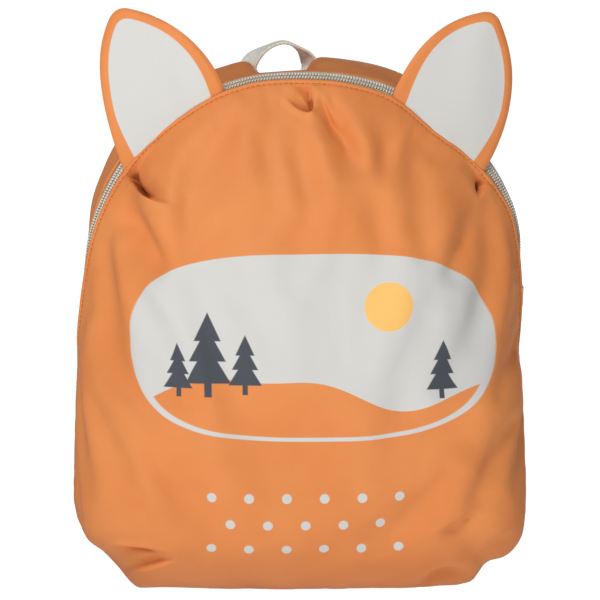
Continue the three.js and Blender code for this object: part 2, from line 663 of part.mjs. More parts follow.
addPiece("front_panel", frontPanel(), orangeCloth);
addPiece("gusset", gusset(), orangeCloth);
addPiece("back_panel", backPanel(), orangeCloth);
const tapeSplit = COIL_AT;
addPiece("zip_tape_front", zipTape(-TAPE_TUCK, 0, tapeSplit - GAP / 2), zipTapeCloth);
addPiece("zip_tape_rear", zipTape(tapeSplit + GAP / 2, ZIP_WIDTH, ZIP_WIDTH + TAPE_UNDER), zipTapeCloth);
addPiece("zip_coil", zipCoil(), zipCoilPlastic);
addPiece("zip_slider", zipSlider(), sliderMetal);
addPiece("grab_handle", grabHandle(), greyWebbing);
const SIDES = { left: -1, right: 1 };
for (const [name, side] of Object.entries(SIDES)) {
  addPiece(`ear_${name}`, ear(EARS[name]), orangeCloth);
  addPiece(`strap_pad_${name}`, strapPad(side), orangeCloth);
  addPiece(`ladder_lock_${name}`, ladderLock(side), lockPlastic);
  addPiece(`strap_webbing_${name}`, lowerWebbing(side), greyWebbing);
}

export default bag;
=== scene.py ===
"""Looks of a small kids backpack with ears: printed coated cloth, zip, webbing and straps.

Sizes are in millimetres in the part's own frame: the front faces -Y, +Z is up, and the origin is on
the floor under the middle of the base. They become metres only where a mesh is made.
"""
import logging
import math
from collections.abc import Sequence
from dataclasses import dataclass, field
from enum import Enum

import bpy
import numpy as np
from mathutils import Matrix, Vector
from mathutils.bvhtree import BVHTree
from mathutils.geometry import delaunay_2d_cdt
from mathutils.interpolate import poly_3d_calc


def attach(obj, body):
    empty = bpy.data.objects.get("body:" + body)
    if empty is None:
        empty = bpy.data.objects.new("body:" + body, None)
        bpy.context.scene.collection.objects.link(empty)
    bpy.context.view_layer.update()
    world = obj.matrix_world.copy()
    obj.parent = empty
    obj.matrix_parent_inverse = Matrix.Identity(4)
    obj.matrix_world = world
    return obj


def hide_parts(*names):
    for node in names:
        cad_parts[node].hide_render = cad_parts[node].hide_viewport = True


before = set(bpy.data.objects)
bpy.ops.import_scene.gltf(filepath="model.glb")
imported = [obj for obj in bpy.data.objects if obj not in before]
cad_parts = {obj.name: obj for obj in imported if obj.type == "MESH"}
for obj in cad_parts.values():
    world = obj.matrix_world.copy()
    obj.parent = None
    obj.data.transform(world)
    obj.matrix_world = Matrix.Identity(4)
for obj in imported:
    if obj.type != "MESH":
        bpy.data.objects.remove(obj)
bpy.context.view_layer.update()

MM = 0.001
SEED = 11
STATIONS = 420
Array = np.ndarray
Rgb = tuple[int, int, int]
log = logging.getLogger("backpack")


class Slot(str, Enum):
    """The record's material slots."""

    CLOTH = "orange_cloth"
    TAPE = "zip_tape"
    COIL = "zip_coil"
    SLIDER = "zip_slider"
    WEBBING = "grey_webbing"
    LOCK = "lock_plastic"


class Side(Enum):
    """The two sides of the bag, seen from the front."""

    LEFT = -1
    RIGHT = 1

    @property
    def word(self) -> str:
        """The side's name as the CAD nodes spell it."""
        return self.name.lower()


def smoothstep(value: Array | float, low: float, high: float) -> Array:
    """A soft step from 0 at low to 1 at high."""
    share = np.clip((np.asarray(value, float) - low) / (high - low), 0, 1)
    return share * share * (3 - 2 * share)


def mix(a: Array | float, b: Array | float, share: Array | float) -> Array:
    """A straight blend from a to b."""
    return a + (b - a) * share


def unit(vectors: Array) -> Array:
    """The vectors scaled to length 1."""
    return vectors / np.maximum(np.linalg.norm(vectors, axis=-1, keepdims=True), 1e-9)


def lengths_along(path: Array) -> Array:
    """The distance along a path at each of its points."""
    return np.concatenate([[0], np.cumsum(np.linalg.norm(np.diff(path, axis=0), axis=1))])


def resample(path: Array, count: int) -> Array:
    """A path cut into even steps.

    Args:
        path: Points in order, one row each.
        count: How many points the result has.

    Returns:
        Points at even distances along the path.
    """
    along = lengths_along(path)
    wanted = np.linspace(0, along[-1], count)
    return np.stack([np.interp(wanted, along, path[:, k]) for k in range(path.shape[1])], axis=1)


def bezier(*controls: tuple[float, ...], count: int = 60) -> Array:
    """Points on a Bezier curve with three or four control points.

    Args:
        controls: The control points.
        count: How many points the result has.

    Returns:
        The curve's points, one row each.
    """
    share = np.linspace(0, 1, count)[:, None]
    level = [np.asarray(control, float)[None, :] for control in controls]
    while len(level) > 1:
        level = [mix(a, b, share) for a, b in zip(level, level[1:])]
    return level[0]


def spline(points: Sequence[tuple[float, ...]], count: int) -> Array:
    """A smooth path through points, cut into even steps.

    Args:
        points: The places that the path goes through.
        count: How many points the result has.

    Returns:
        Points on a centripetal Catmull-Rom curve.
    """
    knots = np.asarray(points, float)
    knots = np.vstack([2 * knots[0] - knots[1], knots, 2 * knots[-1] - knots[-2]])
    parts = []
    for a, b, c, d in zip(knots, knots[1:], knots[2:], knots[3:]):
        steps = [max(math.sqrt(np.linalg.norm(q - p)), 1e-4) for p, q in ((a, b), (b, c), (c, d))]
        enter = ((b - a) / steps[0] - (c - a) / (steps[0] + steps[1]) + (c - b) / steps[1]) * steps[1]
        leave = ((c - b) / steps[1] - (d - b) / (steps[1] + steps[2]) + (d - c) / steps[2]) * steps[1]
        t = np.linspace(0, 1, 30)[:, None]
        cubic = (2 * t**3 - 3 * t**2 + 1) * b + (t**3 - 2 * t**2 + t) * enter
        cubic += (3 * t**2 - 2 * t**3) * c + (t**3 - t**2) * leave
        parts.append(cubic)
    return resample(np.vstack(parts), count)


def distance_to(path: Array, places: Array) -> tuple[Array, Array, Array]:
    """How far places are from a path in the plane.

    Args:
        path: The path's points, two columns.
        places: The places, two columns.

    Returns:
        Distance, share of the way along the path, and the side (+1 left of the way, -1 right).
    """
    starts, spans = path[:-1], np.diff(path, axis=0)
    along = lengths_along(path)
    best = np.full(len(places), np.inf)
    share = np.zeros(len(places))
    side = np.ones(len(places))
    for start, span, before, after in zip(starts, spans, along, along[1:]):
        rel = places - start
        t = np.clip(rel @ span / max(span @ span, 1e-9), 0, 1)
        off = rel - t[:, None] * span
        away = np.hypot(off[:, 0], off[:, 1])
        nearer = away < best
        best = np.where(nearer, away, best)
        share = np.where(nearer, mix(before, after, t) / along[-1], share)
        side = np.where(nearer, np.sign(span[0] * rel[:, 1] - span[1] * rel[:, 0]), side)
    return best, share, side


@dataclass(frozen=True)
class Ripple:
    """Soft seeded unevenness: a sum of plane waves of about one wavelength."""

    wavelength: float
    height: float
    seed: int
    waves: int = 9

    def at(self, u: Array, v: Array) -> Array:
        """The unevenness at places in a plane, in millimetres.

        Args:
            u: Places across.
            v: Places up.

        Returns:
            One height per place.
        """
        chance = np.random.default_rng(self.seed)
        total = np.zeros_like(np.asarray(u, float))
        for _ in range(self.waves):
            angle, phase = chance.uniform(0, math.tau, 2)
            pitch = math.tau / (self.wavelength * chance.uniform(0.7, 1.5))
            total += np.sin(pitch * (u * math.cos(angle) + v * math.sin(angle)) + phase)
        return self.height * total / math.sqrt(self.waves)


@dataclass(frozen=True)
class Crumple:
    """Seeded facets as in handled cloth: straight soft creases that come and go in patches."""

    wavelength: float
    height: float
    seed: int
    waves: int = 8

    def at(self, u: Array, v: Array) -> Array:
        """The facets' height at places in a plane, in millimetres.

        Args:
            u: Places across.
            v: Places up.

        Returns:
            One height per place.
        """
        chance = np.random.default_rng(self.seed)
        bent_u = u + 5 * np.sin(v / 19 + 0.7) + 3 * np.sin(v / 11)
        bent_v = v + 5 * np.sin(u / 23 + 2.1) + 3 * np.sin(u / 13)
        total = np.zeros_like(np.asarray(u, float))
        for number in range(self.waves):
            angle, phase, other = chance.uniform(0, math.tau, 3)
            pitch = math.pi / (self.wavelength * chance.uniform(0.6, 1.6))
            across = bent_u * math.cos(angle) + bent_v * math.sin(angle)
            along = bent_v * math.cos(angle) - bent_u * math.sin(angle)
            patch = smoothstep(np.sin(along * pitch * 0.8 + other), -0.3, 0.8)
            crease = np.abs(np.sin(across * pitch + phase)) - 0.64
            total += (crease if number % 2 else -crease) * patch
        return self.height * total / math.sqrt(self.waves)


@dataclass(frozen=True)
class Dent:
    """A place where the outline is drawn in, or swells out where depth is below zero."""

    x: float
    z: float
    depth: float
    width: float


@dataclass(frozen=True)
class BagSize:
    """The bag's driving dimensions, as in the part's source."""

    half_width: float = 105.0
    arch_half_width: float = 103.0
    arch_start: float = 128.0
    arch_squareness: float = 2.25
    top: float = 238.0
    base_half: float = 74.0
    corner_rise: float = 32.0
    corner_round: float = 12.0
    top_lean: float = 2.8
    centre_height: float = 112.0
    wall: float = 1.6
    gap: float = 0.3
    belly: float = 56.0
    top_draw: float = 13.0
    base_draw: float = 9.0
    floor_flat: float = 1.6
    floor_fade: float = 9.0
    edge_fullness: float = 4.0
    back_y: float = 44.0
    back_thick: float = 2.5
    back_crown: float = 3.0
    back_inset: float = -5.0
    back_rise: float = 5.0
    zip_foot: float = 100.0
    zip_head: float = 114.0
    zip_width: float = 14.0
    seam_floor: float = 36.0
    seam_side: float = 6.0
    seam_top: float = -22.0
    seam_turn: float = 45.0
    seam_overlap: float = 8.0
    rear_low: float = -2.8
    rear_high: float = 0.4
    gusset_crown: float = 2.5
    right_draw: float = 3.0
    handle_middle: float = -6.0
    handle_half: float = 12.0
    handle_sag: float = 15.0
    hem_inset: tuple[tuple[float, float], ...] = (
        (-101, 2.0),
        (-91, 3.2),
        (-70, 4.2),
        (-55, 3.8),
        (-38, 2.0),
        (-21, 1.2),
        (16, 2.4),
        (42, 4.2),
        (51, 6.2),
        (59, 8.2),
        (66, 9.2),
        (73, 8.6),
        (85, 5.6),
        (94, 2.2),
        (98, 0.3),
        (102, 0.5),
    )
    toe_lift: tuple[tuple[float, float], ...] = (
        (-80, 3.2),
        (-64, 4.4),
        (-30, 1.6),
        (30, 0.6),
        (52, 1.6),
        (64, 3.4),
        (74, 3.6),
        (85, 0.6),
    )
    dents: tuple[Dent, ...] = (
        Dent(86, 12, 1.4, 5),
        Dent(78, 4, -2.2, 6),
        Dent(96, 20, -5.5, 13),
        Dent(104, 110, 1.5, 12),
        Dent(-98, 26, -1.8, 9),
        Dent(-75, 2, -2.0, 6),
    )

    @property
    def heart(self) -> Array:
        """The middle of the bag, which its faces point away from."""
        return np.array([0, 0, self.centre_height])

    def lean(self, z: Array | float) -> Array:
        """How far the bag leans to the right at a height."""
        return self.top_lean * (np.asarray(z, float) / self.top) ** 2

    def arch_height(self, x: Array | float) -> Array:
        """Height of the arch over a place across it.

        Args:
            x: Distance from the bag's middle line.

        Returns:
            The arch's height there.
        """
        share = np.minimum(1, np.abs(np.asarray(x, float)) / self.arch_half_width)
        power = self.arch_squareness
        return self.arch_start + (self.top - self.arch_start) * (1 - share**power) ** (1 / power)

    def seam_depth(self, z: Array | float) -> Array:
        """How far back the seam lies at a height of the outline.

        Args:
            z: The height.

        Returns:
            The seam's place along Y.
        """
        low = mix(self.seam_floor, self.seam_side, smoothstep(z, 0, self.seam_turn))
        above = np.asarray(z, float) - self.arch_start + self.seam_overlap
        climb = np.maximum(0, above / (self.top - self.arch_start + self.seam_overlap))
        return mix(low, self.seam_top, climb**1.2)

    def front_depth(self, z: Array) -> Array:
        """How far the front stands forward at a height.

        Args:
            z: The height.

        Returns:
            The front's place along Y.
        """
        climb = (z - self.centre_height) / (self.top - self.centre_height)
        fall = (self.centre_height - z) / self.centre_height
        above = self.top_draw * np.maximum(0, climb) ** 2
        below = self.base_draw * np.maximum(0, fall) ** 2
        return -self.belly + above + below

    def right_half(self) -> Array:
        """The right half of the outline seen from the front, from the middle of the floor to the top.

        Returns:
            Its points, across and up.
        """
        rise = self.corner_rise
        slope = unit(np.array([self.half_width - self.base_half, rise]))
        low = np.array([self.base_half, 0]) + slope * self.corner_round
        high = np.array([self.half_width, rise]) - slope * self.corner_round
        floor_end = (self.base_half - self.corner_round, 0)
        side_start = (self.half_width, rise + self.corner_round)
        angle = np.linspace(0, math.pi / 2, 900)
        across = self.arch_half_width * np.maximum(0, np.cos(angle)) ** (2 / self.arch_squareness)
        across[-1] = 0
        stretches = [
            np.array([(0, 0), floor_end]),
            bezier(floor_end, (self.base_half, 0), tuple(low)),
            bezier(tuple(high), (self.half_width, rise), side_start),
            np.stack([across, self.arch_height(across)], axis=1),
        ]
        return np.vstack(stretches)


class Outline:
    """The bag's outline seen from the front, with one array entry per station, from the floor round."""

    def __init__(self, size: BagSize, count: int) -> None:
        """Works out the stations.

        Args:
            size: The bag's dimensions.
            count: How many stations go round the bag, an even number.
        """
        half = resample(size.right_half(), count // 2 + 1)
        loop = np.vstack([half, half[1:-1][::-1] * (-1, 1)])
        span = np.roll(loop, -1, axis=0) - np.roll(loop, 1, axis=0)
        self.size = size
        self.count = len(loop)
        self.normal = unit(np.stack([span[:, 1], -span[:, 0]], axis=1))
        drawn = sum(
            dent.depth * np.exp(-((loop[:, 0] - dent.x) ** 2 + (loop[:, 1] - dent.z) ** 2) / dent.width**2)
            for dent in size.dents
        )
        self.drawn = drawn
        place = loop - drawn[:, None] * self.normal
        self.z = place[:, 1]
        self.x = place[:, 0] + size.lean(self.z)
        self.seam_y = size.seam_depth(self.z)
        self.zipped = np.clip((self.z - size.zip_foot) / (size.zip_head - size.zip_foot), 0, 1)
        self.inset = np.interp(self.x, *np.transpose(size.hem_inset)) * smoothstep(self.z, 115, 150)
        self.hem_x = self.x - self.normal[:, 0] * self.inset
        self.hem_z = self.z - self.normal[:, 1] * self.inset
        self.rear_out = mix(size.rear_low, size.rear_high, smoothstep(self.z, 125, 205))
        self.right = smoothstep(self.x, 60, 90) * smoothstep(self.z, 130, 165)
        foot = smoothstep(self.z, 0, 40)
        crown = mix(1, size.gusset_crown, smoothstep(self.z, 160, 225))
        self.crown = foot * crown * (1 - 0.8 * self.right)
        wrap = mix(6, 3.2, smoothstep(self.z, 0, 60))
        self.open = smoothstep(self.z, 80, 135)
        self.fullness = mix(wrap, size.edge_fullness, self.open)
        self.roundness = mix(1 / wrap, 1.0, self.open)
        high = smoothstep(self.z, 130, 220)
        self.back_offset = foot * mix(size.back_inset, size.back_rise, high) - size.right_draw * self.right
        self.arc = lengths_along(np.stack([self.x, self.z], axis=1))

    def off(self, y: Array, out: Array) -> Array:
        """Points off the outline at depths y, moved out along the outline's normals.

        Args:
            y: Depth at each station, or one depth.
            out: How far out each station moves.

        Returns:
            One point per station.
        """
        x = self.x + self.normal[:, 0] * out
        z = self.z + self.normal[:, 1] * out
        return np.stack([x, np.broadcast_to(y, x.shape), z], axis=-1)

    def dip(self, share: float) -> Array:
        """How far the gusset sags between the handle's legs, at a share of its width.

        Args:
            share: 0 at the zip, 1 at the back.

        Returns:
            The sag at each station.
        """
        aside = (self.x - self.size.handle_middle) / self.size.handle_half
        sag = self.size.handle_sag * np.exp(-(aside**4)) * smoothstep(share, 0.1, 0.5)
        return np.where(self.z < 200, 0, sag)


class Pen:
    """Adds nodes to one node tree."""

    def __init__(self, tree: bpy.types.NodeTree) -> None:
        """Takes the tree to write in."""
        self.tree = tree

    def node(self, kind: str, settings: dict | None = None, inputs: dict | None = None) -> bpy.types.Node:
        """Adds one node.

        Args:
            kind: The node's Blender type.
            settings: Its own properties, set before the sockets.
            inputs: Values, sockets or Fields for its inputs, by socket name or number.

        Returns:
            The new node.
        """
        made = self.tree.nodes.new(kind)
        for name, value in (settings or {}).items():
            setattr(made, name, value)
        for name, value in (inputs or {}).items():
            if isinstance(value, Field):
                value = value.socket
            if isinstance(value, bpy.types.NodeSocket):
                self.tree.links.new(value, made.inputs[name])
            else:
                made.inputs[name].default_value = value
        return made

    def field(
        self, kind: str, settings: dict | None = None, inputs: dict | None = None, out: int | str = 0
    ) -> "Field":
        """Adds one node and returns one of its outputs as a Field."""
        return Field(self, self.node(kind, settings, inputs).outputs[out])


class Field:
    """A socket that takes part in Python arithmetic."""

    def __init__(self, pen: Pen, socket: bpy.types.NodeSocket) -> None:
        """Wraps a socket of the pen's tree."""
        self.pen = pen
        self.socket = socket

    def math(self, operation: str, *others: "Field | float") -> "Field":
        """A Math node on this value and others."""
        values = dict(enumerate((self, *others)))
        return self.pen.field("ShaderNodeMath", {"operation": operation}, values)

    def __add__(self, other: "Field | float") -> "Field":
        """self + other."""
        return self.math("ADD", other)

    def __sub__(self, other: "Field | float") -> "Field":
        """self - other."""
        return self.math("SUBTRACT", other)

    def __mul__(self, other: "Field | float") -> "Field":
        """self * other."""
        return self.math("MULTIPLY", other)

    def __truediv__(self, other: "Field | float") -> "Field":
        """self / other."""
        return self.math("DIVIDE", other)

    __radd__ = __add__
    __rmul__ = __mul__

    def __rsub__(self, other: float) -> "Field":
        """other - self."""
        return self * -1 + other

    def sine(self) -> "Field":
        """The sine of an angle in radians."""
        return self.math("SINE")

    def least(self, other: "Field | float") -> "Field":
        """The smaller of two values."""
        return self.math("MINIMUM", other)

    def most(self, other: "Field | float") -> "Field":
        """The larger of two values."""
        return self.math("MAXIMUM", other)

    def size(self) -> "Field":
        """The value without its sign."""
        return self.math("ABSOLUTE")

    def step(self, low: float, high: float) -> "Field":
        """A soft step from 0 at low to 1 at high."""
        limits = {"Value": self, "From Min": low, "From Max": high}
        return self.pen.field("ShaderNodeMapRange", {"interpolation_type": "SMOOTHSTEP"}, limits)


def linear(colour: Rgb) -> tuple[float, float, float, float]:
    """A colour as seen on a screen, as Blender's linear numbers.

    Args:
        colour: Red, green and blue from 0 to 255.

    Returns:
        Red, green, blue and alpha from 0 to 1.
    """
    shares = [c / 255 for c in colour]
    r, g, b = (s / 12.92 if s <= 0.04045 else ((s + 0.055) / 1.055) ** 2.4 for s in shares)
    return (r, g, b, 1.0)


class Paint(Pen):
    """Draws one material."""

    def __init__(self, name: str) -> None:
        """Starts a material with nothing but its shader and output.

        Args:
            name: The material's name.
        """
        self.material = bpy.data.materials.new(name)
        self.material.use_nodes = True
        super().__init__(self.material.node_tree)
        self.tree.nodes.clear()
        self.shader = self.node("ShaderNodeBsdfPrincipled")
        self.node("ShaderNodeOutputMaterial", inputs={"Surface": self.shader.outputs[0]})

    def place(self) -> tuple[Field, Field, Field]:
        """The object coordinates in metres."""
        split = self.node("ShaderNodeSeparateXYZ", inputs={0: self.coordinates()})
        return tuple(Field(self, socket) for socket in split.outputs)

    def coordinates(self) -> bpy.types.NodeSocket:
        """The object coordinates as one socket."""
        return self.node("ShaderNodeTexCoord").outputs["Object"]

    def flat(self, layer: str) -> tuple[Field, Field]:
        """The two coordinates of one of the piece's own UV layers, in millimetres."""
        chart = self.node("ShaderNodeUVMap", {"uv_map": layer})
        split = self.node("ShaderNodeSeparateXYZ", inputs={0: chart.outputs[0]})
        return tuple(Field(self, socket) * 1000 for socket in split.outputs[:2])

    def noise(self, scale: float, detail: float = 3, roughness: float = 0.5) -> Field:
        """Cloudy noise from 0 to 1 at so many features a metre."""
        values = {"Vector": self.coordinates(), "Scale": scale, "Detail": detail, "Roughness": roughness}
        return self.field("ShaderNodeTexNoise", inputs=values)

    def ridges(self, scale: float, detail: float) -> Field:
        """Noise with sharp ridges at so many features a metre."""
        values = {"Vector": self.coordinates(), "Scale": scale, "Detail": detail, "Gain": 1.2, "Offset": 0.9}
        return self.field("ShaderNodeTexNoise", {"noise_type": "RIDGED_MULTIFRACTAL"}, values)

    def blend(self, share: Field, low: Rgb | Field, high: Rgb | Field) -> Field:
        """A colour from low to high by a share."""
        ends = [end if isinstance(end, Field) else linear(end) for end in (low, high)]
        return self.field("ShaderNodeMix", {"data_type": "RGBA"}, {0: share, 6: ends[0], 7: ends[1]}, out=2)

    def set(self, **values: "Field | float | tuple") -> None:
        """Sets or links the shader's sockets, named with _ for spaces.

        Args:
            values: A number, colour or Field for each socket.
        """
        for name, value in values.items():
            socket = self.shader.inputs[name.replace("_", " ").title().replace("Ior", "IOR")]
            if isinstance(value, Field):
                self.tree.links.new(value.socket, socket)
            else:
                socket.default_value = value

    def bump(self, height: Field, depth: float, strength: float = 1.0) -> None:
        """Raises the surface by a height field, with depth in millimetres for a height of 1."""
        values = {"Height": height, "Distance": depth * MM, "Strength": strength}
        self.set(normal=self.field("ShaderNodeBump", inputs=values))


@dataclass(frozen=True)
class Landscape:
    """The printed design on the front: a light badge with hills, dark firs and a sun, and rows of dots."""

    cream: Rgb = (207, 206, 202)
    charcoal: Rgb = (74, 77, 84)
    yellow: Rgb = (246, 192, 108)
    edge: float = 0.25
    badge: tuple[float, float, float, float] = (4.0, 119.0, 82.0, 42.0)
    badge_squareness: float = 3.0
    sun: tuple[float, float, float] = (38.0, 137.0, 11.0)
    rim: float = 1.8
    hill_height: float = 99.0
    hill_waves: tuple[tuple[float, float, float], ...] = ((0.043, 2.6, 7.0), (0.097, 0.4, 2.5))
    firs: tuple[tuple[float, float, float], ...] = (
        (-44, 97, 38),
        (-27, 98, 27),
        (-58, 97, 24),
        (63, 95, 26),
    )
    trunk: tuple[float, float] = (0.045, 0.3)
    tiers: tuple[tuple[float, float, float], ...] = (
        (0.16, 0.62, 0.28),
        (0.42, 0.82, 0.22),
        (0.66, 1.0, 0.16),
    )
    dot_pitch: tuple[float, float] = (17.0, 12.5)
    dot_size: float = 2.2
    dot_floor: float = 20.0
    dot_middle: float = 3.0
    dot_half_width: float = 46.0
    dot_levels: tuple[float, float] = (22.0, 62.0)

    def inside_badge(self, u: Field, v: Field) -> Field:
        """How far a place is inside the badge, in millimetres.

        Args:
            u: Place across.
            v: Place up.

        Returns:
            The distance, below zero outside.
        """
        x, z, half_width, half_height = self.badge
        power = self.badge_squareness
        across = ((u - x).size() / half_width).math("POWER", power)
        up = ((v - z).size() / half_height).math("POWER", power)
        return (1 - (across + up).math("POWER", 1 / power)) * half_height

    def above_hills(self, u: Field, v: Field) -> Field:
        """How far a place is above the hills, in millimetres."""
        crest = sum((u * pitch + phase).sine() * height for pitch, phase, height in self.hill_waves)
        return v - (crest + self.hill_height)

    def fir(self, u: Field, v: Field, tree: tuple[float, float, float]) -> Field:
        """How far a place is inside one fir of three stacked tiers and a trunk.

        Args:
            u: Place across.
            v: Place up.
            tree: The fir's place across, its foot and its height.

        Returns:
            The distance in millimetres, below zero outside.
        """
        x, foot, height = tree
        aside = (u - x).size()
        half, top = self.trunk
        shape = (height * half - aside).least((v - foot).least(foot + height * top - v))
        for low, high, wide in self.tiers:
            side = (foot + height * high - v) * (wide / (high - low)) - aside
            shape = shape.most((side * 0.85).least(v - (foot + height * low)))
        return shape

    def dots(self, u: Field, v: Field) -> Field:
        """How far a place is inside one of the dots in staggered rows under the badge.

        Args:
            u: Place across.
            v: Place up.

        Returns:
            The distance in millimetres, below zero outside.
        """
        across, up = self.dot_pitch
        low, high = self.dot_levels
        row = ((v - self.dot_floor) / up).math("FLOOR")
        shift = row.math("MODULO", 2.0) * (across / 2)
        middle = (((u + shift) / across).math("FLOOR") + 0.5) * across - shift
        level = (row + 0.5) * up + self.dot_floor
        spot = self.dot_size - ((u - middle) * (u - middle) + (v - level) * (v - level)).math("SQRT")
        beside = self.dot_half_width - (middle - self.dot_middle).size()
        return spot.least(beside.least((level - low).least(high - level)))

    def paint(self, pen: Paint, cloth: Field) -> tuple[Field, Field]:
        """Lays the design over the cloth's colour.

        Args:
            pen: The material's pen.
            cloth: The bare cloth's colour.

        Returns:
            The colour with the design, and where ink lies as a share.
        """
        u, v = pen.flat("print")
        x, z, radius = self.sun
        badge = self.inside_badge(u, v)
        sky = badge.least(self.above_hills(u, v))
        rim = badge.least(self.rim - badge)
        disc = (radius - ((u - x) * (u - x) + (v - z) * (v - z)).math("SQRT")).least(sky)
        firs = self.fir(u, v, self.firs[0])
        for tree in self.firs[1:]:
            firs = firs.most(self.fir(u, v, tree))
        layers = (
            (sky.most(rim).most(self.dots(u, v)), self.cream),
            (disc, self.yellow),
            (firs.least(badge), self.charcoal),
        )
        colour, ink = cloth, None
        for shape, hue in layers:
            mask = shape.step(-self.edge, self.edge)
            colour = pen.blend(mask, colour, hue)
            ink = mask if ink is None else ink.most(mask)
        return colour, ink


@dataclass(frozen=True)
class CoatedCloth:
    """A smooth coated polyester with a fine weave and a satin sheen."""

    name: str
    colour: Rgb = (226, 141, 80)
    shade: Rgb = (221, 133, 73)
    roughness: float = 0.58
    sheen: float = 0.02
    thread: float = 0.62
    creasing: float = 4.0
    cloud_scale: float = 26.0
    gloss_scale: float = 70.0
    crinkle_scale: float = 190.0
    crease_scale: float = 34.0
    # Painted shade: the deep brown that the sewn slits are darkened towards.
    painted_crease_shade: Rgb = (124, 40, 2)
    design: Landscape | None = None
    panel: Rgb | None = None

    def make(self) -> bpy.types.Material:
        """Draws the material, with the printed design or a plain light panel where one is given.

        Returns:
            The material.
        """
        pen = Paint(self.name)
        x, y, z = pen.place()
        pitch = math.tau / (self.thread * MM)
        threads = ((x + y) * pitch).sine() * (z * pitch).sine()
        cloud = pen.noise(self.cloud_scale, 4, 0.55)
        colour = pen.blend(cloud.step(0.3, 0.72), self.colour, self.shade)
        rough = pen.noise(self.gloss_scale, 3) * 0.12 + (self.roughness - 0.06)
        if self.design is not None:
            colour, ink = self.design.paint(pen, colour)
            rough = rough + ink * 0.06
            # Painted shade: the slits' depth, carried by the crease value, darkens the colour where shade
            # falls in the folds.
            crease = pen.field("ShaderNodeAttribute", {"attribute_name": "crease"}, out="Fac")
            colour = pen.blend(crease.step(0.25, 1.0) * 0.75, colour, self.painted_crease_shade)
        if self.panel is not None:
            inside = pen.field("ShaderNodeAttribute", {"attribute_name": "panel"}, out="Fac")
            mask = inside.step(-0.3, 0.3)
            colour = pen.blend(mask, colour, self.panel)
            rough = rough + mask * 0.08
        crinkle = pen.noise(self.crinkle_scale, 4, 0.6) + pen.ridges(self.crease_scale, 2) * self.creasing
        pen.set(base_color=colour, roughness=rough, sheen_weight=self.sheen, sheen_roughness=0.45)
        pen.set(specular_ior_level=0.22)
        pen.bump(threads * 0.35 + crinkle, 0.05, 0.5)
        return pen.material


@dataclass(frozen=True)
class Webbing:
    """Woven polyester tape with fine ribs, on the piece's own strip layer (across, along)."""

    name: str
    colour: Rgb
    shade: Rgb
    rib: float = 1.7
    pick: float = 1.5
    roughness: float = 0.82

    def make(self) -> bpy.types.Material:
        """Draws the material.

        Returns:
            The material.
        """
        pen = Paint(self.name)
        across, along = pen.flat("strip")
        column = (across / self.rib).math("FLOOR")
        slant = (column.math("MODULO", 2.0) - 0.5) * 2
        twill = ((along / self.pick + slant * (across / self.rib)) * math.tau).sine()
        rib = (across * (math.pi / self.rib)).sine().size()
        height = twill * 0.35 + rib * 0.65
        fibre = pen.noise(900, 2)
        # Painted shade in the weave: the grooves between ribs take the darker colour, with random fibre tone
        # on top.
        groove_shade_and_fibre = (height * 0.45 + fibre * 0.4).step(-0.1, 0.75)
        pen.set(base_color=pen.blend(groove_shade_and_fibre, self.shade, self.colour))
        pen.set(roughness=self.roughness, sheen_weight=0.2)
        pen.bump(height + fibre * 0.25, 0.22, 0.8)
        return pen.material


@dataclass(frozen=True)
class Moulded:
    """Moulded plastic, twisted thread or die-cast metal: a fine even grain with slight wear."""

    name: str
    colour: Rgb
    wear: Rgb
    roughness: float = 0.45
    metallic: float = 0.0
    grain: float = 420.0

    def make(self) -> bpy.types.Material:
        """Draws the material.

        Returns:
            The material.
        """
        pen = Paint(self.name)
        cloud = pen.noise(self.grain / 6, 3)
        grain = pen.noise(self.grain, 3, 0.6)
        pen.set(
            base_color=pen.blend(cloud.step(0.35, 0.75), self.colour, self.wear),
            roughness=grain * 0.22 + (self.roughness - 0.11),
            metallic=self.metallic,
        )
        pen.bump(grain, 0.06, 0.5)
        return pen.material


class Finishes:
    """All the materials of the bag, made once."""

    def __init__(self) -> None:
        """Draws every material."""
        cream = Landscape().cream
        self.printed = CoatedCloth("printed_cloth", design=Landscape()).make()
        self.cloth = CoatedCloth("plain_cloth").make()
        self.ear = CoatedCloth("ear_cloth", panel=cream).make()
        self.pad = CoatedCloth("pad_cloth", roughness=0.55, thread=0.9).make()
        self.handle = Webbing("grey_webbing", (240, 241, 230), (220, 221, 210)).make()
        self.tape = Webbing("zip_tape", (206, 194, 175), (178, 166, 146), rib=0.8, pick=0.7).make()
        self.coil = Moulded("zip_coil", (232, 225, 212), (212, 205, 192), roughness=0.4).make()
        self.slider = Moulded("slider_metal", (196, 190, 178), (160, 154, 142), 0.3, 0.9, 260).make()
        self.lock = Moulded("lock_plastic", (190, 184, 172), (172, 166, 154), 0.5).make()
        self.thread = Moulded("thread", (205, 108, 44), (184, 92, 34), 0.6, 0.0, 1500).make()
        self.pale_thread = Moulded("pale_thread", (216, 210, 198), (186, 180, 168), 0.6, 0.0, 1500).make()


def grid_faces(rows: int, columns: int, around: bool) -> list[tuple[int, ...]]:
    """Quads between the rows of a grid of points.

    Args:
        rows: How many rows of points there are.
        columns: How many points each row has.
        around: Whether each row closes on itself.

    Returns:
        The faces, as numbers of points counted row by row.
    """
    last = columns if around else columns - 1
    faces = []
    for j in range(rows - 1):
        for i in range(last):
            a, b = j * columns + i, j * columns + (i + 1) % columns
            faces.append((a, b, b + columns, a + columns))
    return faces


def facing_out(points: Array, faces: Sequence[Sequence[int]], centre: Array) -> list[tuple[int, ...]]:
    """The faces turned so that they point away from a centre on the whole.

    Args:
        points: The mesh's points.
        faces: Its faces.
        centre: What they point away from.

    Returns:
        The faces, all turned round or none.
    """
    flux = 0.0
    for face in faces:
        corners = points[list(face)]
        flux += np.cross(corners[1] - corners[0], corners[2] - corners[0]) @ (corners[0] - centre)
    return [tuple(face) if flux > 0 else tuple(reversed(face)) for face in faces]


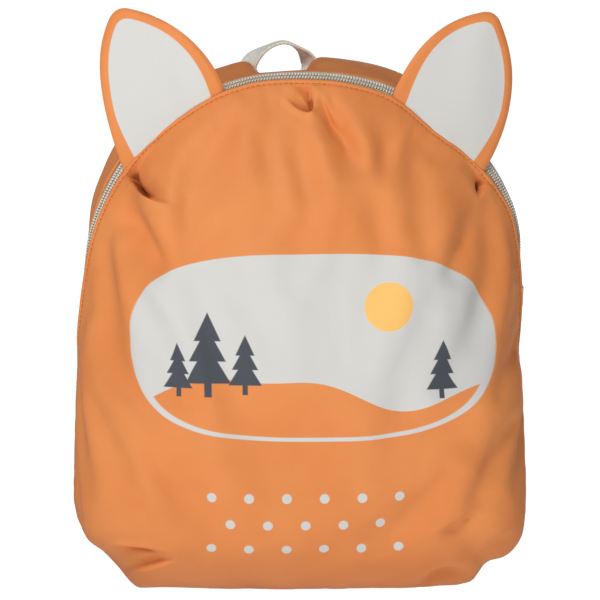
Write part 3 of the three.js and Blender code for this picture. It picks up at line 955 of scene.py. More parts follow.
def new_piece(
    name: str, points: Array, faces: Sequence[Sequence[int]], centre: Array | None = None
) -> bpy.types.Object:
    """Makes a smooth mesh object at the origin.

    Args:
        name: The piece's name.
        points: Its points in millimetres.
        faces: Its faces.
        centre: What the faces point away from; the middle of the points if not given.

    Returns:
        The new object.
    """
    points = np.asarray(points, float)
    middle = points.mean(axis=0) if centre is None else centre
    mesh = bpy.data.meshes.new(name)
    mesh.from_pydata((points * MM).tolist(), [], facing_out(points, faces, middle))
    mesh.validate()
    mesh.shade_smooth()
    made = bpy.data.objects.new(name, mesh)
    bpy.context.scene.collection.objects.link(made)
    return made


def add_layer(piece: bpy.types.Object, name: str, flat: Array) -> None:
    """Gives a piece a UV layer from one pair of millimetres per point.

    Args:
        piece: The piece.
        name: The layer's name.
        flat: The pairs.
    """
    mesh = piece.data
    corner = np.empty(len(mesh.loops), np.int32)
    mesh.loops.foreach_get("vertex_index", corner)
    layer = mesh.uv_layers.new(name=name)
    layer.data.foreach_set("uv", (np.asarray(flat, float)[corner] * MM).astype(np.float32).ravel())


def add_value(piece: bpy.types.Object, name: str, values: Array) -> None:
    """Gives a piece one number per point."""
    made = piece.data.attributes.new(name, "FLOAT", "POINT")
    made.data.foreach_set("value", np.asarray(values, np.float32))


def mesh_points(piece: bpy.types.Object) -> Array:
    """A piece's points in millimetres.

    Args:
        piece: The piece.

    Returns:
        One row per point.
    """
    points = np.empty(len(piece.data.vertices) * 3)
    piece.data.vertices.foreach_get("co", points)
    return points.reshape(-1, 3) / MM


def thicken(piece: bpy.types.Object, thickness: float) -> None:
    """Gives a cloth its thickness, inwards from its face.

    Args:
        piece: The cloth.
        thickness: Its wall in millimetres.
    """
    wall = piece.modifiers.new("thickness", "SOLIDIFY")
    wall.thickness = thickness * MM
    wall.offset = -1


def place_piece(
    piece: bpy.types.Object, slot: Slot, material: bpy.types.Material, *nodes: str
) -> bpy.types.Object:
    """Dresses a piece and ties it to the frame.

    Args:
        piece: The finished mesh.
        slot: The record's slot that the piece belongs to; not used.
        material: Its material.
        nodes: The CAD nodes that it stands for.

    Returns:
        The piece.
    """
    piece.data.materials.clear()
    piece.data.materials.append(material)
    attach(piece, "root")
    if nodes:
        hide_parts(*nodes)
    log.info("%s: %d faces", piece.name, len(piece.data.polygons))
    return piece


def dress_node(name: str, material: bpy.types.Material) -> bpy.types.Object:
    """Gives a CAD node its finish.

    Args:
        name: The node's name.
        material: Its material.

    Returns:
        The node's object.
    """
    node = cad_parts[name]
    node.data.materials.clear()
    node.data.materials.append(material)
    log.info("%s: dressed", name)
    return node


class GrainRow:
    """Rows of small grains along paths, such as stitches and a zip's coil, made with Geometry Nodes."""

    def __init__(self) -> None:
        """Builds the tree: points along each path, a grain on each, turned to the path and its face."""
        self.tree = bpy.data.node_groups.new("grain_row", "GeometryNodeTree")
        self.sockets: dict[str, str] = {}
        self.tree.interface.new_socket("Geometry", in_out="OUTPUT", socket_type="NodeSocketGeometry")
        for name, kind in (
            ("Geometry", "Geometry"),
            ("Pitch", "Float"),
            ("Length", "Float"),
            ("Width", "Float"),
            ("Height", "Float"),
            ("Slant", "Float"),
            ("Finish", "Material"),
        ):
            socket = self.tree.interface.new_socket(name, in_out="INPUT", socket_type=f"NodeSocket{kind}")
            self.sockets[name] = socket.identifier
        pen = Pen(self.tree)
        given = pen.node("NodeGroupInput").outputs
        curve = pen.node("GeometryNodeMeshToCurve", inputs={"Mesh": given["Geometry"]})
        dots = pen.node(
            "GeometryNodeCurveToPoints",
            {"mode": "LENGTH"},
            {"Curve": curve.outputs[0], "Length": given["Pitch"]},
        )
        along = pen.node(
            "FunctionNodeAlignRotationToVector", {"axis": "X"}, {"Vector": dots.outputs["Tangent"]}
        )
        face = pen.node("GeometryNodeInputNamedAttribute", {"data_type": "FLOAT_VECTOR"}, {"Name": "out"})
        seated = pen.node(
            "FunctionNodeAlignRotationToVector",
            {"axis": "Z", "pivot_axis": "X"},
            {"Rotation": along.outputs[0], "Vector": face.outputs[0]},
        )
        turn = pen.node(
            "FunctionNodeAxisAngleToRotation", inputs={"Axis": (0, 0, 1), "Angle": given["Slant"]}
        )
        slanted = pen.node(
            "FunctionNodeRotateRotation",
            {"rotation_space": "LOCAL"},
            {"Rotation": seated.outputs[0], "Rotate By": turn.outputs[0]},
        )
        size = pen.node(
            "ShaderNodeCombineXYZ", inputs={0: given["Length"], 1: given["Width"], 2: given["Height"]}
        )
        grain = pen.node("GeometryNodeMeshUVSphere", inputs={"Segments": 8, "Rings": 5, "Radius": 0.5})
        laid = pen.node(
            "GeometryNodeInstanceOnPoints",
            inputs={
                "Points": dots.outputs["Points"],
                "Instance": grain.outputs["Mesh"],
                "Rotation": slanted.outputs[0],
                "Scale": size.outputs[0],
            },
        )
        real = pen.node("GeometryNodeRealizeInstances", inputs={"Geometry": laid.outputs[0]})
        smooth = pen.node("GeometryNodeSetShadeSmooth", inputs={"Geometry": real.outputs[0]})
        dressed = pen.node(
            "GeometryNodeSetMaterial", inputs={"Geometry": smooth.outputs[0], "Material": given["Finish"]}
        )
        pen.node("NodeGroupOutput", inputs={0: dressed.outputs[0]})

    def lay(
        self,
        name: str,
        paths: Sequence[tuple[Array, Array]],
        pitch: float,
        grain: tuple[float, float, float],
        material: bpy.types.Material,
        slant: float = 0.0,
    ) -> bpy.types.Object:
        """Lays grains along paths and returns them as one plain mesh.

        Args:
            name: The new piece's name.
            paths: For each path its points and the directions that face out there.
            pitch: Distance from grain to grain.
            grain: A grain's length, width and height.
            material: The grains' material.
            slant: How far each grain is turned from the path, in radians.

        Returns:
            The new object.
        """
        points = np.vstack([path for path, _ in paths])
        outs = np.vstack([out for _, out in paths])
        edges, start = [], 0
        for path, _ in paths:
            edges += [(start + k, start + k + 1) for k in range(len(path) - 1)]
            start += len(path)
        mesh = bpy.data.meshes.new(name + "_path")
        mesh.from_pydata((points * MM).tolist(), edges, [])
        facing = mesh.attributes.new("out", "FLOAT_VECTOR", "POINT")
        facing.data.foreach_set("vector", outs.astype(np.float32).ravel())
        guide = bpy.data.objects.new(name + "_path", mesh)
        bpy.context.scene.collection.objects.link(guide)
        rows = guide.modifiers.new("grains", "NODES")
        rows.node_group = self.tree
        values = (pitch * MM, grain[0] * MM, grain[1] * MM, grain[2] * MM, slant, material)
        for socket, value in zip(("Pitch", "Length", "Width", "Height", "Slant", "Finish"), values):
            rows[self.sockets[socket]] = value
        ready = guide.evaluated_get(bpy.context.evaluated_depsgraph_get())
        made = bpy.data.objects.new(name, bpy.data.meshes.new_from_object(ready))
        bpy.context.scene.collection.objects.link(made)
        bpy.data.objects.remove(guide)
        return made


@dataclass(frozen=True)
class Fold:
    """A fold of the front panel along a bent line seen from the front.

    The cloth goes in by depth along the line, or out where depth is below zero: over soft millimetres on
    one side of the way (gentle: +1 left, -1 right) and steep millimetres on the other. A lip stands out
    beside the steep side and leans over the line.
    """

    start: tuple[float, float]
    bend: tuple[float, float]
    end: tuple[float, float]
    depth: float
    steep: float
    soft: float
    gentle: int = 1
    lip: float = 0.0
    over: float = 0.0
    tucked: bool = False

    def line(self) -> Array:
        """The fold's line."""
        return bezier(self.start, self.bend, self.end, count=22)

    def move(self, places: Array) -> Array:
        """How the fold moves the cloth at places seen from the front: right, out and up.

        Args:
            places: Places across and up, one row each.

        Returns:
            One movement per place.
        """
        path = self.line()
        reach = 3 * max(self.soft, self.steep)
        boxed = np.all((places > path.min(axis=0) - reach) & (places < path.max(axis=0) + reach), axis=1)
        moved = np.zeros((len(places), 3))
        near = places[boxed]
        if not len(near):
            return moved
        away, along, side = distance_to(path, near)
        fade = 1 - smoothstep(along, 0.5, 1)
        if not self.tucked:
            fade = fade * smoothstep(along, 0, 0.4)
        easy = side == self.gentle
        spread = away / np.where(easy, self.soft, self.steep)
        crest = np.where(easy, 0, np.exp(-((spread - 1.6) ** 2)))
        share = np.linspace(0, 1, len(path))
        foot = np.stack([np.interp(along, share, path[:, k]) for k in (0, 1)], axis=1)
        toward = unit(foot - near) * (fade * crest * self.over)[:, None]
        out = fade * (self.lip * crest - self.depth * np.exp(-(spread**2)))
        moved[boxed] = np.stack([toward[:, 0], out, toward[:, 1]], axis=1)
        return moved


SOFT_FOLDS = {
    "left_ridge": Fold((-77, 182), (-70, 173), (-48, 170), -2.6, 6.0, 9.0, 1),
    "left_cheek": Fold((-77, 172), (-66, 158), (-36, 146), 3.2, 7.0, 11.0, -1),
    "right_ridge": Fold((80, 181), (70, 172), (50, 168), -2.2, 8.0, 9.0, 1),
    "left_rib": Fold((-85, 178), (-85, 158), (-82, 136), -2.0, 5.0, 4.0),
    "left_hollow": Fold((-90, 170), (-91, 148), (-88, 124), 2.4, 5.0, 5.0),
    "left_flank": Fold((-93, 128), (-90, 112), (-79, 92), 2.4, 5.0, 6.0),
    "left_strand": Fold((-84, 106), (-77, 90), (-60, 78), 2.6, 4.0, 7.0, 1, 0.6),
    "left_hip": Fold((-98, 100), (-95, 80), (-92, 50), 1.8, 6.0, 7.0),
    "right_flank": Fold((102, 109), (92, 103), (80, 92), 2.0, 5.0, 7.0, 1, 0.6, 0.0, True),
    "right_hip": Fold((97, 90), (88, 58), (68, 24), 1.8, 8.0, 10.0),
}
SET_FOLDS = {
    "left_side": Fold((-85, 188), (-80, 172), (-58, 149), 7.0, 5.0, 11.0, -1),
    "right_cheek": Fold((86, 184), (77, 160), (54, 134), 6.0, 9.0, 8.0, -1),
    "fan_left": Fold((-20, 222), (-18, 204), (-8, 172), 1.6, 5.0, 8.0),
    "fan_middle": Fold((-6, 222), (-5, 204), (5, 170), 2.2, 4.0, 8.0),
    "fan_ridge": Fold((2, 224), (8, 206), (18, 176), -1.6, 6.0, 6.0),
    "fan_right": Fold((8, 233), (18, 216), (30, 188), 4.6, 3.5, 7.5, -1, 0.5),
    "fan_rib": Fold((26, 224), (29, 210), (32, 194), -1.0, 5.0, 5.0),
    "fan_far": Fold((42, 217), (40, 206), (32, 188), 3.4, 3.5, 5.5, -1),
    "fan_hollow": Fold((31, 196), (35, 172), (38, 146), 2.6, 8.0, 9.0),
    "right_brow": Fold((46, 214), (61, 209), (82, 195), 2.0, 3.5, 5.0),
}
SEWN_FOLDS = {
    "left_pleat": Fold((-80.5, 202), (-83.5, 181), (-57, 182.5), 4.0, 1.6, 10.0, 1, 2.2, 3.0, True),
    "left_slit": Fold((-80.5, 202), (-83.5, 181), (-65, 182.5), 6.5, 1.0, 2.2, 1, 0.0, 1.0, True),
    "right_pleat": Fold((87.0, 200.5), (89.5, 188.5), (80.5, 182), 4.0, 1.6, 8.0, -1, 1.6, 3.0, True),
    "right_slit": Fold((87.0, 200.5), (89.5, 188.5), (81, 182.5), 6.5, 1.0, 2.6, -1, 0.0, 1.2, True),
    "top_pleat": Fold((3.0, 233), (9, 215), (-9, 231), 2.2, 1.4, 5.0, -1, 0.9, 1.2, True),
    "top_slit": Fold((3.2, 231.5), (8.8, 216), (-5, 228), 2.8, 0.9, 2.2, -1, 0.0, 0.5, True),
    "top_fold": Fold((6.5, 232), (10, 224), (20, 211), 2.2, 1.4, 5.0, -1, 1.0, 0.8),
    "left_dart": Fold((-92, 20), (-79, 28), (-63, 19), 3.0, 1.8, 6.0, -1, 1.4, 1.0),
    "left_dart_slit": Fold((-86, 22), (-77, 26), (-64, 19), 3.4, 1.0, 2.4, -1, 0.0, 0.5),
    "left_tuck": Fold((-58, 20), (-64, 13), (-84, 11), 4.0, 1.6, 5.0, -1, 1.2, 1.0),
    "right_dart": Fold((60, 28), (71, 41), (88, 37), 2.6, 3.0, 8.0, -1, 0.8, 0.4),
    "right_tuck": Fold((76, 14), (86, 24), (102, 31), 2.2, 3.0, 7.0, -1, 0.4, 0.3),
    "right_foot": Fold((52, 1), (60, 9), (80, 5), 4.0, 1.6, 4.0, 1, 0.8, 0.8),
}
SLITS = {name: fold for name, fold in SEWN_FOLDS.items() if name.endswith("slit")}


@dataclass(frozen=True)
class Drape:
    """A short cloth simulation that lets a panel with some slack hang and crease by itself."""

    slack: float
    bending: float = 140.0
    stretch: float = 15.0
    shear: float = 5.0
    mass: float = 0.1
    weight: float = 0.7
    friction: float = 5.0
    cloth_skin: float = 0.0008
    filling_skin: float = 0.001
    quality: int = 6
    frames: int = 25

    def settle(self, piece: bpy.types.Object, pinned: Array, core: bpy.types.Object) -> Array:
        """Runs the simulation and removes what it used.

        Args:
            piece: The panel, without modifiers.
            pinned: How firmly each point is held, from 0 to 1.
            core: What fills the bag behind the panel.

        Returns:
            How far each of the panel's points moved.
        """
        before = mesh_points(piece)
        group = piece.vertex_groups.new(name="pinned")
        for number in np.flatnonzero(pinned > 0):
            group.add([int(number)], float(pinned[number]), "REPLACE")
        core.modifiers.new("filling", "COLLISION")
        core.collision.thickness_outer = self.filling_skin
        core.collision.cloth_friction = self.friction
        cloth = piece.modifiers.new("drape", "CLOTH")
        rules = cloth.settings
        rules.quality = self.quality
        rules.mass = self.mass
        rules.tension_stiffness = self.stretch
        rules.compression_stiffness = self.stretch
        rules.shear_stiffness = self.shear
        rules.bending_stiffness = self.bending
        rules.vertex_group_mass = "pinned"
        rules.shrink_min = -self.slack
        rules.shrink_max = -self.slack
        rules.effector_weights.gravity = self.weight
        cloth.collision_settings.distance_min = self.cloth_skin
        cloth.point_cache.frame_end = self.frames
        scene = bpy.context.scene
        for number in range(1, self.frames + 1):
            scene.frame_set(number)
        ready = piece.evaluated_get(bpy.context.evaluated_depsgraph_get())
        moved = mesh_points(ready) - before
        scene.frame_set(1)
        for used in (piece, core):
            bpy.data.objects.remove(used)
        log.info("hung cloth: moved %.1f mm at most", float(np.linalg.norm(moved, axis=1).max()))
        return moved


@dataclass(frozen=True)
class Layout:
    """Triangles over the flattened front panel, with each point's station and ring number."""

    flat: Array
    station: Array
    ring: Array
    faces: list[tuple[int, ...]]

    def carry(self, moved: Array, other: "Layout") -> Array:
        """Carries movements of these points over to another layout's points.

        Args:
            moved: One movement per point of this layout.
            other: The layout that takes the movements.

        Returns:
            One movement per point of the other layout, blended inside each triangle.
        """
        corners = [Vector((*place, 0)) for place in self.flat.tolist()]
        tree = BVHTree.FromPolygons(corners, self.faces)
        result = np.zeros((len(other.flat), 3))
        for number, place in enumerate(other.flat.tolist()):
            spot, _, face, _ = tree.find_nearest(Vector((*place, 0)))
            ends = self.faces[face]
            result[number] = poly_3d_calc([corners[k] for k in ends], spot) @ moved[list(ends)]
        return result

    def smooth(self, values: Array, rounds: int, pull: float = 0.6) -> Array:
        """The values evened out between neighbours, several times over.

        Args:
            values: One row per point.
            rounds: How many times.
            pull: The share taken from the neighbours each time.

        Returns:
            The new values.
        """
        faces = np.array(self.faces)
        pairs = np.vstack([faces[:, (0, 1)], faces[:, (1, 2)], faces[:, (2, 0)]])
        count = np.maximum(1, np.bincount(pairs.ravel(), minlength=len(values)))[:, None]
        for _ in range(rounds):
            total = np.zeros_like(values)
            np.add.at(total, pairs[:, 0], values[pairs[:, 1]])
            np.add.at(total, pairs[:, 1], values[pairs[:, 0]])
            values = mix(values, total / count, pull)
        return values


@dataclass
class FrontPanel:
    """The bag's face, lower sides and floor in one soft cloth, laid out from its middle to its seam."""

    outline: Outline
    finishes: Finishes
    spacing: float = 1.7
    coarse: float = 2.7
    slack: float = 0.01
    crumple: Crumple = Crumple(34, 1.15, SEED + 1)
    creases: Crumple = Crumple(15, 0.3, SEED + 9)
    rings: int = 70
    fine: float = 0.62
    soft_fade: tuple[float, float] = (3.0, 14.0)
    sewn_fade: tuple[float, float] = (1.5, 3.6)
    facet_fade: tuple[float, float] = (4.0, 16.0)
    set_share: float = 0.4
    # Slit depth at which the painted crease shade is full.
    slit_depth: float = 3.6
    filling_gap: float = 6.0
    held_rim: tuple[float, float] = (6.0, 10.0)
    held_floor: float = 2.0
    foot_share: float = 0.3
    smoothing: int = 6
    hem: float = 1.9
    hem_roll: float = 0.4
    hem_height: float = 0.4
    gather_pitch: float = 9.5
    gather_height: float = 0.38
    ditch: float = 1.1
    stitch_foot: float = 112.0
    stitch_lift: float = 0.12
    stitch_pitch: float = 2.5
    stitch: tuple[float, float, float] = (2.0, 0.5, 0.45)
    uneven: Ripple = Ripple(40, 0.5, SEED)
    rim: tuple[float, ...] = (0, 0.4, 0.9, 1.3, 1.6, 1.9, 2.2, 2.6, 3.3, 4.4, 6.0, 8.0)
    flat: tuple[float, float] = (0.33, 0.35)
    flat_area: float = 0.072
    chart: dict[str, Array] = field(default_factory=dict)

    def draw_chart(self) -> None:
        """Works out the plain panel as arrays [ring, station], from the rim to the middle."""
        line, size = self.outline, self.outline.size
        middle = (float(size.lean(size.centre_height)), size.centre_height)
        reach = np.hypot(line.hem_x - middle[0], line.hem_z - middle[1])
        stand = line.seam_y - size.front_depth(line.hem_z)
        turn = np.linspace(0, math.pi / 2, 700)
        steps = self.rings - len(self.rim)
        names = ("x", "y", "z", "forward", "from_rim")
        grids = {name: np.zeros((self.rings, line.count)) for name in names}
        full = np.zeros(line.count)
        for i in range(line.count):
            bent = np.sin(turn) ** 2
            outward = bent ** (1 / line.fullness[i])
            forward = (1 - bent) ** line.roundness[i]
            along = lengths_along(np.stack([outward * reach[i], forward * stand[i]], axis=1))
            full[i] = along[-1]
            share = np.arange(1, steps + 1) / steps
            distance = np.concatenate([self.rim, mix(self.rim[-1], full[i], share)])
            out = np.interp(full[i] - distance, along, outward)
            front = np.interp(full[i] - distance, along, forward)
            grids["x"][:, i] = mix(middle[0], line.hem_x[i], out)
            grids["z"][:, i] = mix(middle[1], line.hem_z[i], out)
            grids["y"][:, i] = mix(line.seam_y[i], size.front_depth(grids["z"][:, i]), front)
            grids["forward"][:, i] = front
            grids["from_rim"][:, i] = distance
        place = np.stack([grids["x"], grids["y"], grids["z"]], axis=-1)
        round_bag = np.roll(place, -1, axis=1) - np.roll(place, 1, axis=1)
        inward = np.gradient(place, axis=0)
        normal = unit(np.cross(inward, round_bag))
        normal *= np.sign((normal * (place - size.heart)).sum(axis=-1))[..., None]
        normal[-1] = (0, -1, 0)
        grids.update(nx=normal[..., 0], ny=normal[..., 1], nz=normal[..., 2])
        grids["zipped"] = np.broadcast_to(line.zipped, grids["x"].shape)
        grids["open"] = np.broadcast_to(line.open, grids["x"].shape)
        self.chart = grids
        self.full = full
        self.angle = np.unwrap(np.arctan2(line.hem_z - middle[1], line.hem_x - middle[0]))

    def sample(self, name: str, station: Array, ring: Array) -> Array:
        """A chart's values between its stations and rings.

        Args:
            name: The chart.
            station: Station numbers, whole or between.
            ring: Ring numbers.

        Returns:
            One value per place.
        """
        grid = self.chart[name]
        i0, j0 = np.floor(station).astype(int), np.floor(ring).astype(int)
        fi, fj = station - i0, ring - j0
        i0, i1 = i0 % grid.shape[1], (i0 + 1) % grid.shape[1]
        j0, j1 = np.clip(j0, 0, self.rings - 1), np.clip(j0 + 1, 0, self.rings - 1)
        low = mix(grid[j0, i0], grid[j0, i1], fi)
        high = mix(grid[j1, i0], grid[j1, i1], fi)
        return mix(low, high, fj)

    def ring_of(self, station: Array, distance: Array) -> Array:
        """The ring number at a distance from the rim.

        Args:
            station: Station numbers, whole or between.
            distance: Distances from the rim.

        Returns:
            One ring number per place.
        """
        count = self.outline.count
        full = np.interp(station % count, np.arange(count + 1), np.append(self.full, self.full[0]))
        near = np.interp(distance, self.rim, np.arange(len(self.rim)))
        steps = self.rings - len(self.rim)
        far = len(self.rim) - 1 + (distance - self.rim[-1]) / (full - self.rim[-1]) * steps
        return np.where(distance < self.rim[-1], near, np.minimum(far, self.rings - 1))

    def lattice(self, spacing: float) -> tuple[Array, Array, Array, Array]:
        """An even lattice over the flattened panel.

        Args:
            spacing: Distance from point to point.

        Returns:
            The points' two flat coordinates, station numbers and distances from the rim.
        """
        count, span = self.outline.count, self.full.max()
        rows = np.arange(-span, span, spacing * math.sqrt(3) / 2)
        u, v = np.meshgrid(np.arange(-span, span, spacing), rows)
        u = u + (np.arange(len(rows)) % 2)[:, None] * spacing / 2
        u, v = u.ravel(), v.ravel()
        wrapped = (np.arctan2(v, u) - self.angle[0]) % math.tau + self.angle[0]
        turn = np.append(self.angle, self.angle[0] + math.tau)
        station = np.interp(wrapped, turn, np.arange(count + 1))
        full = np.interp(station, np.arange(count + 1), np.append(self.full, self.full[0]))
        distance = full - np.hypot(u, v)
        inside = distance > 0
        return u[inside], v[inside], station[inside], distance[inside]

    def near_sewn(self, seen: Array, reach: float = 5.0) -> Array:
        """Which places seen from the front are close to a sewn fold.

        Args:
            seen: Places across and up.
            reach: How close.

        Returns:
            True or false for each place.
        """
        close = np.zeros(len(seen), bool)
        for fold in SEWN_FOLDS.values():
            path = fold.line()
            boxed = np.all((seen > path.min(axis=0) - reach) & (seen < path.max(axis=0) + reach), axis=1)
            numbers = np.flatnonzero(boxed)
            if len(numbers):
                close[numbers] |= distance_to(path, seen[numbers])[0] < reach
        return close

    def spread_out(self, spacing: float, fine: float) -> Layout:
        """Cuts the panel into even triangles.

        Args:
            spacing: Distance from point to point.
            fine: The same close to the sewn folds.

        Returns:
            The triangles.
        """
        count = self.outline.count
        numbers = np.arange(count)
        flat, stations, rings = [], [], []
        for j, distance in enumerate(self.rim):
            reach = self.full - distance
            flat.append(np.stack([reach * np.cos(self.angle), reach * np.sin(self.angle)], axis=1))
            stations.append(numbers.astype(float))
            rings.append(np.full(count, float(j)))
        for step, close in ((spacing, False), (fine, True)):
            u, v, station, distance = self.lattice(step)
            ring = self.ring_of(station, distance)
            seen = np.stack([self.sample("x", station, ring), self.sample("z", station, ring)], axis=1)
            kept = (distance > self.rim[-1] + 0.8) & (self.near_sewn(seen) == close)
            flat.append(np.stack([u, v], axis=1)[kept])
            stations.append(station[kept])
            rings.append(ring[kept])
        places = np.vstack(flat)
        border = [(i, (i + 1) % count) for i in range(count)]
        result = delaunay_2d_cdt([Vector(p) for p in places.tolist()], border, [], 1, 1e-4)
        first = [origin[0] for origin in result[3]]
        faces = [tuple(face) for face in result[2]]
        return Layout(places[first], np.concatenate(stations)[first], np.concatenate(rings)[first], faces)

    def gather(self, arc: Array, from_rim: Array, zipped: Array) -> Array:
        """Hem, stitch groove and small gathers along the zip, and the ditch of the seam below it.

        Args:
            arc: Distance round the outline.
            from_rim: Distance from the rim.
            zipped: Share of the zip, 0 below its end.

        Returns:
            How far the cloth stands out.
        """
        low, high = self.hem - self.hem_roll, self.hem + self.hem_roll
        hem = self.hem_height * (1 - smoothstep(from_rim, low, high))
        groove = -self.hem_height * np.exp(-(((from_rim - self.hem) / self.hem_roll) ** 2))
        drift = 1.6 * np.sin(arc / 17.0) + 0.8 * np.sin(arc / 5.3)
        wave = np.sin(arc * math.tau / self.gather_pitch + drift)
        gathers = self.gather_height * wave * np.exp(-from_rim / 9.0) * smoothstep(from_rim, 0.5, 5)
        ditch = -self.ditch * np.exp(-from_rim / self.ditch)
        return zipped * (hem + groove + gathers) + (1 - zipped) * (ditch + 0.5 * gathers)

    def plain(self, station: Array, ring: Array) -> tuple[Array, Array]:
        """The plain panel's points and the directions that they face.

        Args:
            station: Station numbers, whole or between.
            ring: Ring numbers.

        Returns:
            The points and the directions, one row each.
        """
        place = np.stack([self.sample(name, station, ring) for name in ("x", "y", "z")], axis=1)
        normal = np.stack([self.sample(name, station, ring) for name in ("nx", "ny", "nz")], axis=1)
        return place, unit(normal)

    def folded(
        self, station: Array, ring: Array, folds: dict[str, Fold], free: tuple[float, float]
    ) -> Array:
        """How folds move the panel, growing between two distances from the rim.

        Args:
            station: Station numbers, whole or between.
            ring: Ring numbers.
            folds: The folds.
            free: The two distances.

        Returns:
            One movement per place.
        """
        place, normal = self.plain(station, ring)
        names = ("from_rim", "open", "forward")
        from_rim, opened, forward = (self.sample(name, station, ring) for name in names)
        moved = sum(fold.move(place[:, (0, 2)]) for fold in folds.values())
        share = np.maximum(opened, smoothstep(forward, 0.05, 0.3)) * smoothstep(from_rim, *free)
        aside = moved * (1, 0, 1)
        return (aside + normal * moved[:, 1:2]) * share[:, None]

    def softly(self, station: Array, ring: Array) -> Array:
        """How the soft folds and a slight unevenness move the panel.

        Args:
            station: Station numbers, whole or between.
            ring: Ring numbers.

        Returns:
            One movement per place.
        """
        place, normal = self.plain(station, ring)
        uneven = self.uneven.at(place[:, 0], place[:, 2] * 0.45)
        uneven = uneven * smoothstep(self.sample("from_rim", station, ring), *self.soft_fade)
        folds = {**SOFT_FOLDS, **SET_FOLDS}
        return self.folded(station, ring, folds, self.soft_fade) + normal * uneven[:, None]

    def points(self, station: Array, ring: Array, hung: Array | None = None) -> Array:
        """The panel's points with its folds, hem and gathers, and with how the cloth hangs.

        Args:
            station: Station numbers, whole or between.
            ring: Ring numbers.
            hung: How the simulation moved it; the soft folds alone if not given.

        Returns:
            One point per place.
        """
        place, normal = self.plain(station, ring)
        from_rim, zipped = (self.sample(name, station, ring) for name in ("from_rim", "zipped"))
        arc = np.interp(station % self.outline.count, np.arange(self.outline.count), self.outline.arc)
        soft = self.softly(station, ring) if hung is None else hung
        sewn = self.folded(station, ring, SEWN_FOLDS, self.sewn_fade)
        facets = self.crumple.at(place[:, 0], place[:, 2]) + self.creases.at(place[:, 0], place[:, 2])
        facets = facets * smoothstep(from_rim, *self.facet_fade)
        place = place + soft + sewn + normal * (self.gather(arc, from_rim, zipped) + facets)[:, None]
        size = self.outline.size
        sag = size.floor_flat * np.exp(-np.maximum(place[:, 2], 0) / size.floor_fade)
        place[:, 2] = np.maximum(0, place[:, 2] - sag)
        toe = np.interp(place[:, 0], *np.transpose(size.toe_lift))
        place[:, 2] += toe * smoothstep(-place[:, 1], 2, 36) * (1 - smoothstep(place[:, 2], 6, 34))
        return place

    def hang(self, wanted: Layout) -> Array:
        """Lets a coarser panel hang on what fills the bag and carries that over to the wanted layout.

        Args:
            wanted: The fine layout.

        Returns:
            One movement per point of it.
        """
        rough = self.spread_out(self.coarse, self.coarse)
        place, normal = self.plain(rough.station, rough.ring)
        soft = self.softly(rough.station, rough.ring)
        middle = self.outline.size.heart
        cloth = new_piece("hanging", place + soft, rough.faces, middle)
        core = new_piece("filling", place - normal * self.filling_gap, rough.faces, middle)
        held = 1 - smoothstep(self.sample("from_rim", rough.station, rough.ring), *self.held_rim)
        moved = Drape(self.slack).settle(cloth, np.maximum(held, place[:, 2] < self.held_floor), core)
        moved = (soft + moved) * mix(self.foot_share, 1.0, smoothstep(place[:, 2], 8, 45))[:, None]
        kept = self.folded(wanted.station, wanted.ring, SET_FOLDS, self.soft_fade) * self.set_share
        return wanted.smooth(rough.carry(moved, wanted), self.smoothing) + kept

    def build(self) -> bpy.types.Object:
        """Makes the cloth with its drape and folds, thickness and print layer.

        Returns:
            The panel.
        """
        self.draw_chart()
        layout = self.spread_out(self.spacing, self.fine)
        hung = self.hang(layout)
        place = self.points(layout.station, layout.ring, hung)
        panel = new_piece("front_cloth", place, layout.faces, self.outline.size.heart)
        add_layer(panel, "print", self.plain(layout.station, layout.ring)[0][:, (0, 2)])
        # The crease value is painted shade: the printed cloth is darkened by how deep the slits sink.
        sunk = np.linalg.norm(self.folded(layout.station, layout.ring, SLITS, self.sewn_fade), axis=1)
        add_value(panel, "crease", np.minimum(1, sunk / self.slit_depth))
        thicken(panel, self.outline.size.wall)
        place_piece(panel, Slot.CLOTH, self.finishes.printed, "front_panel")
        return panel

    def stitch_line(self) -> tuple[Array, Array]:
        """The topstitching's path along the zip, with the directions that face out.

        Returns:
            The points and the directions, one row each.
        """
        numbers = np.flatnonzero(self.outline.z > self.stitch_foot).astype(float)
        ring = self.ring_of(numbers, np.full(len(numbers), self.hem))
        out = np.stack([self.sample(name, numbers, ring) for name in ("nx", "ny", "nz")], axis=1)
        return self.points(numbers, ring) + unit(out) * self.stitch_lift, unit(out)


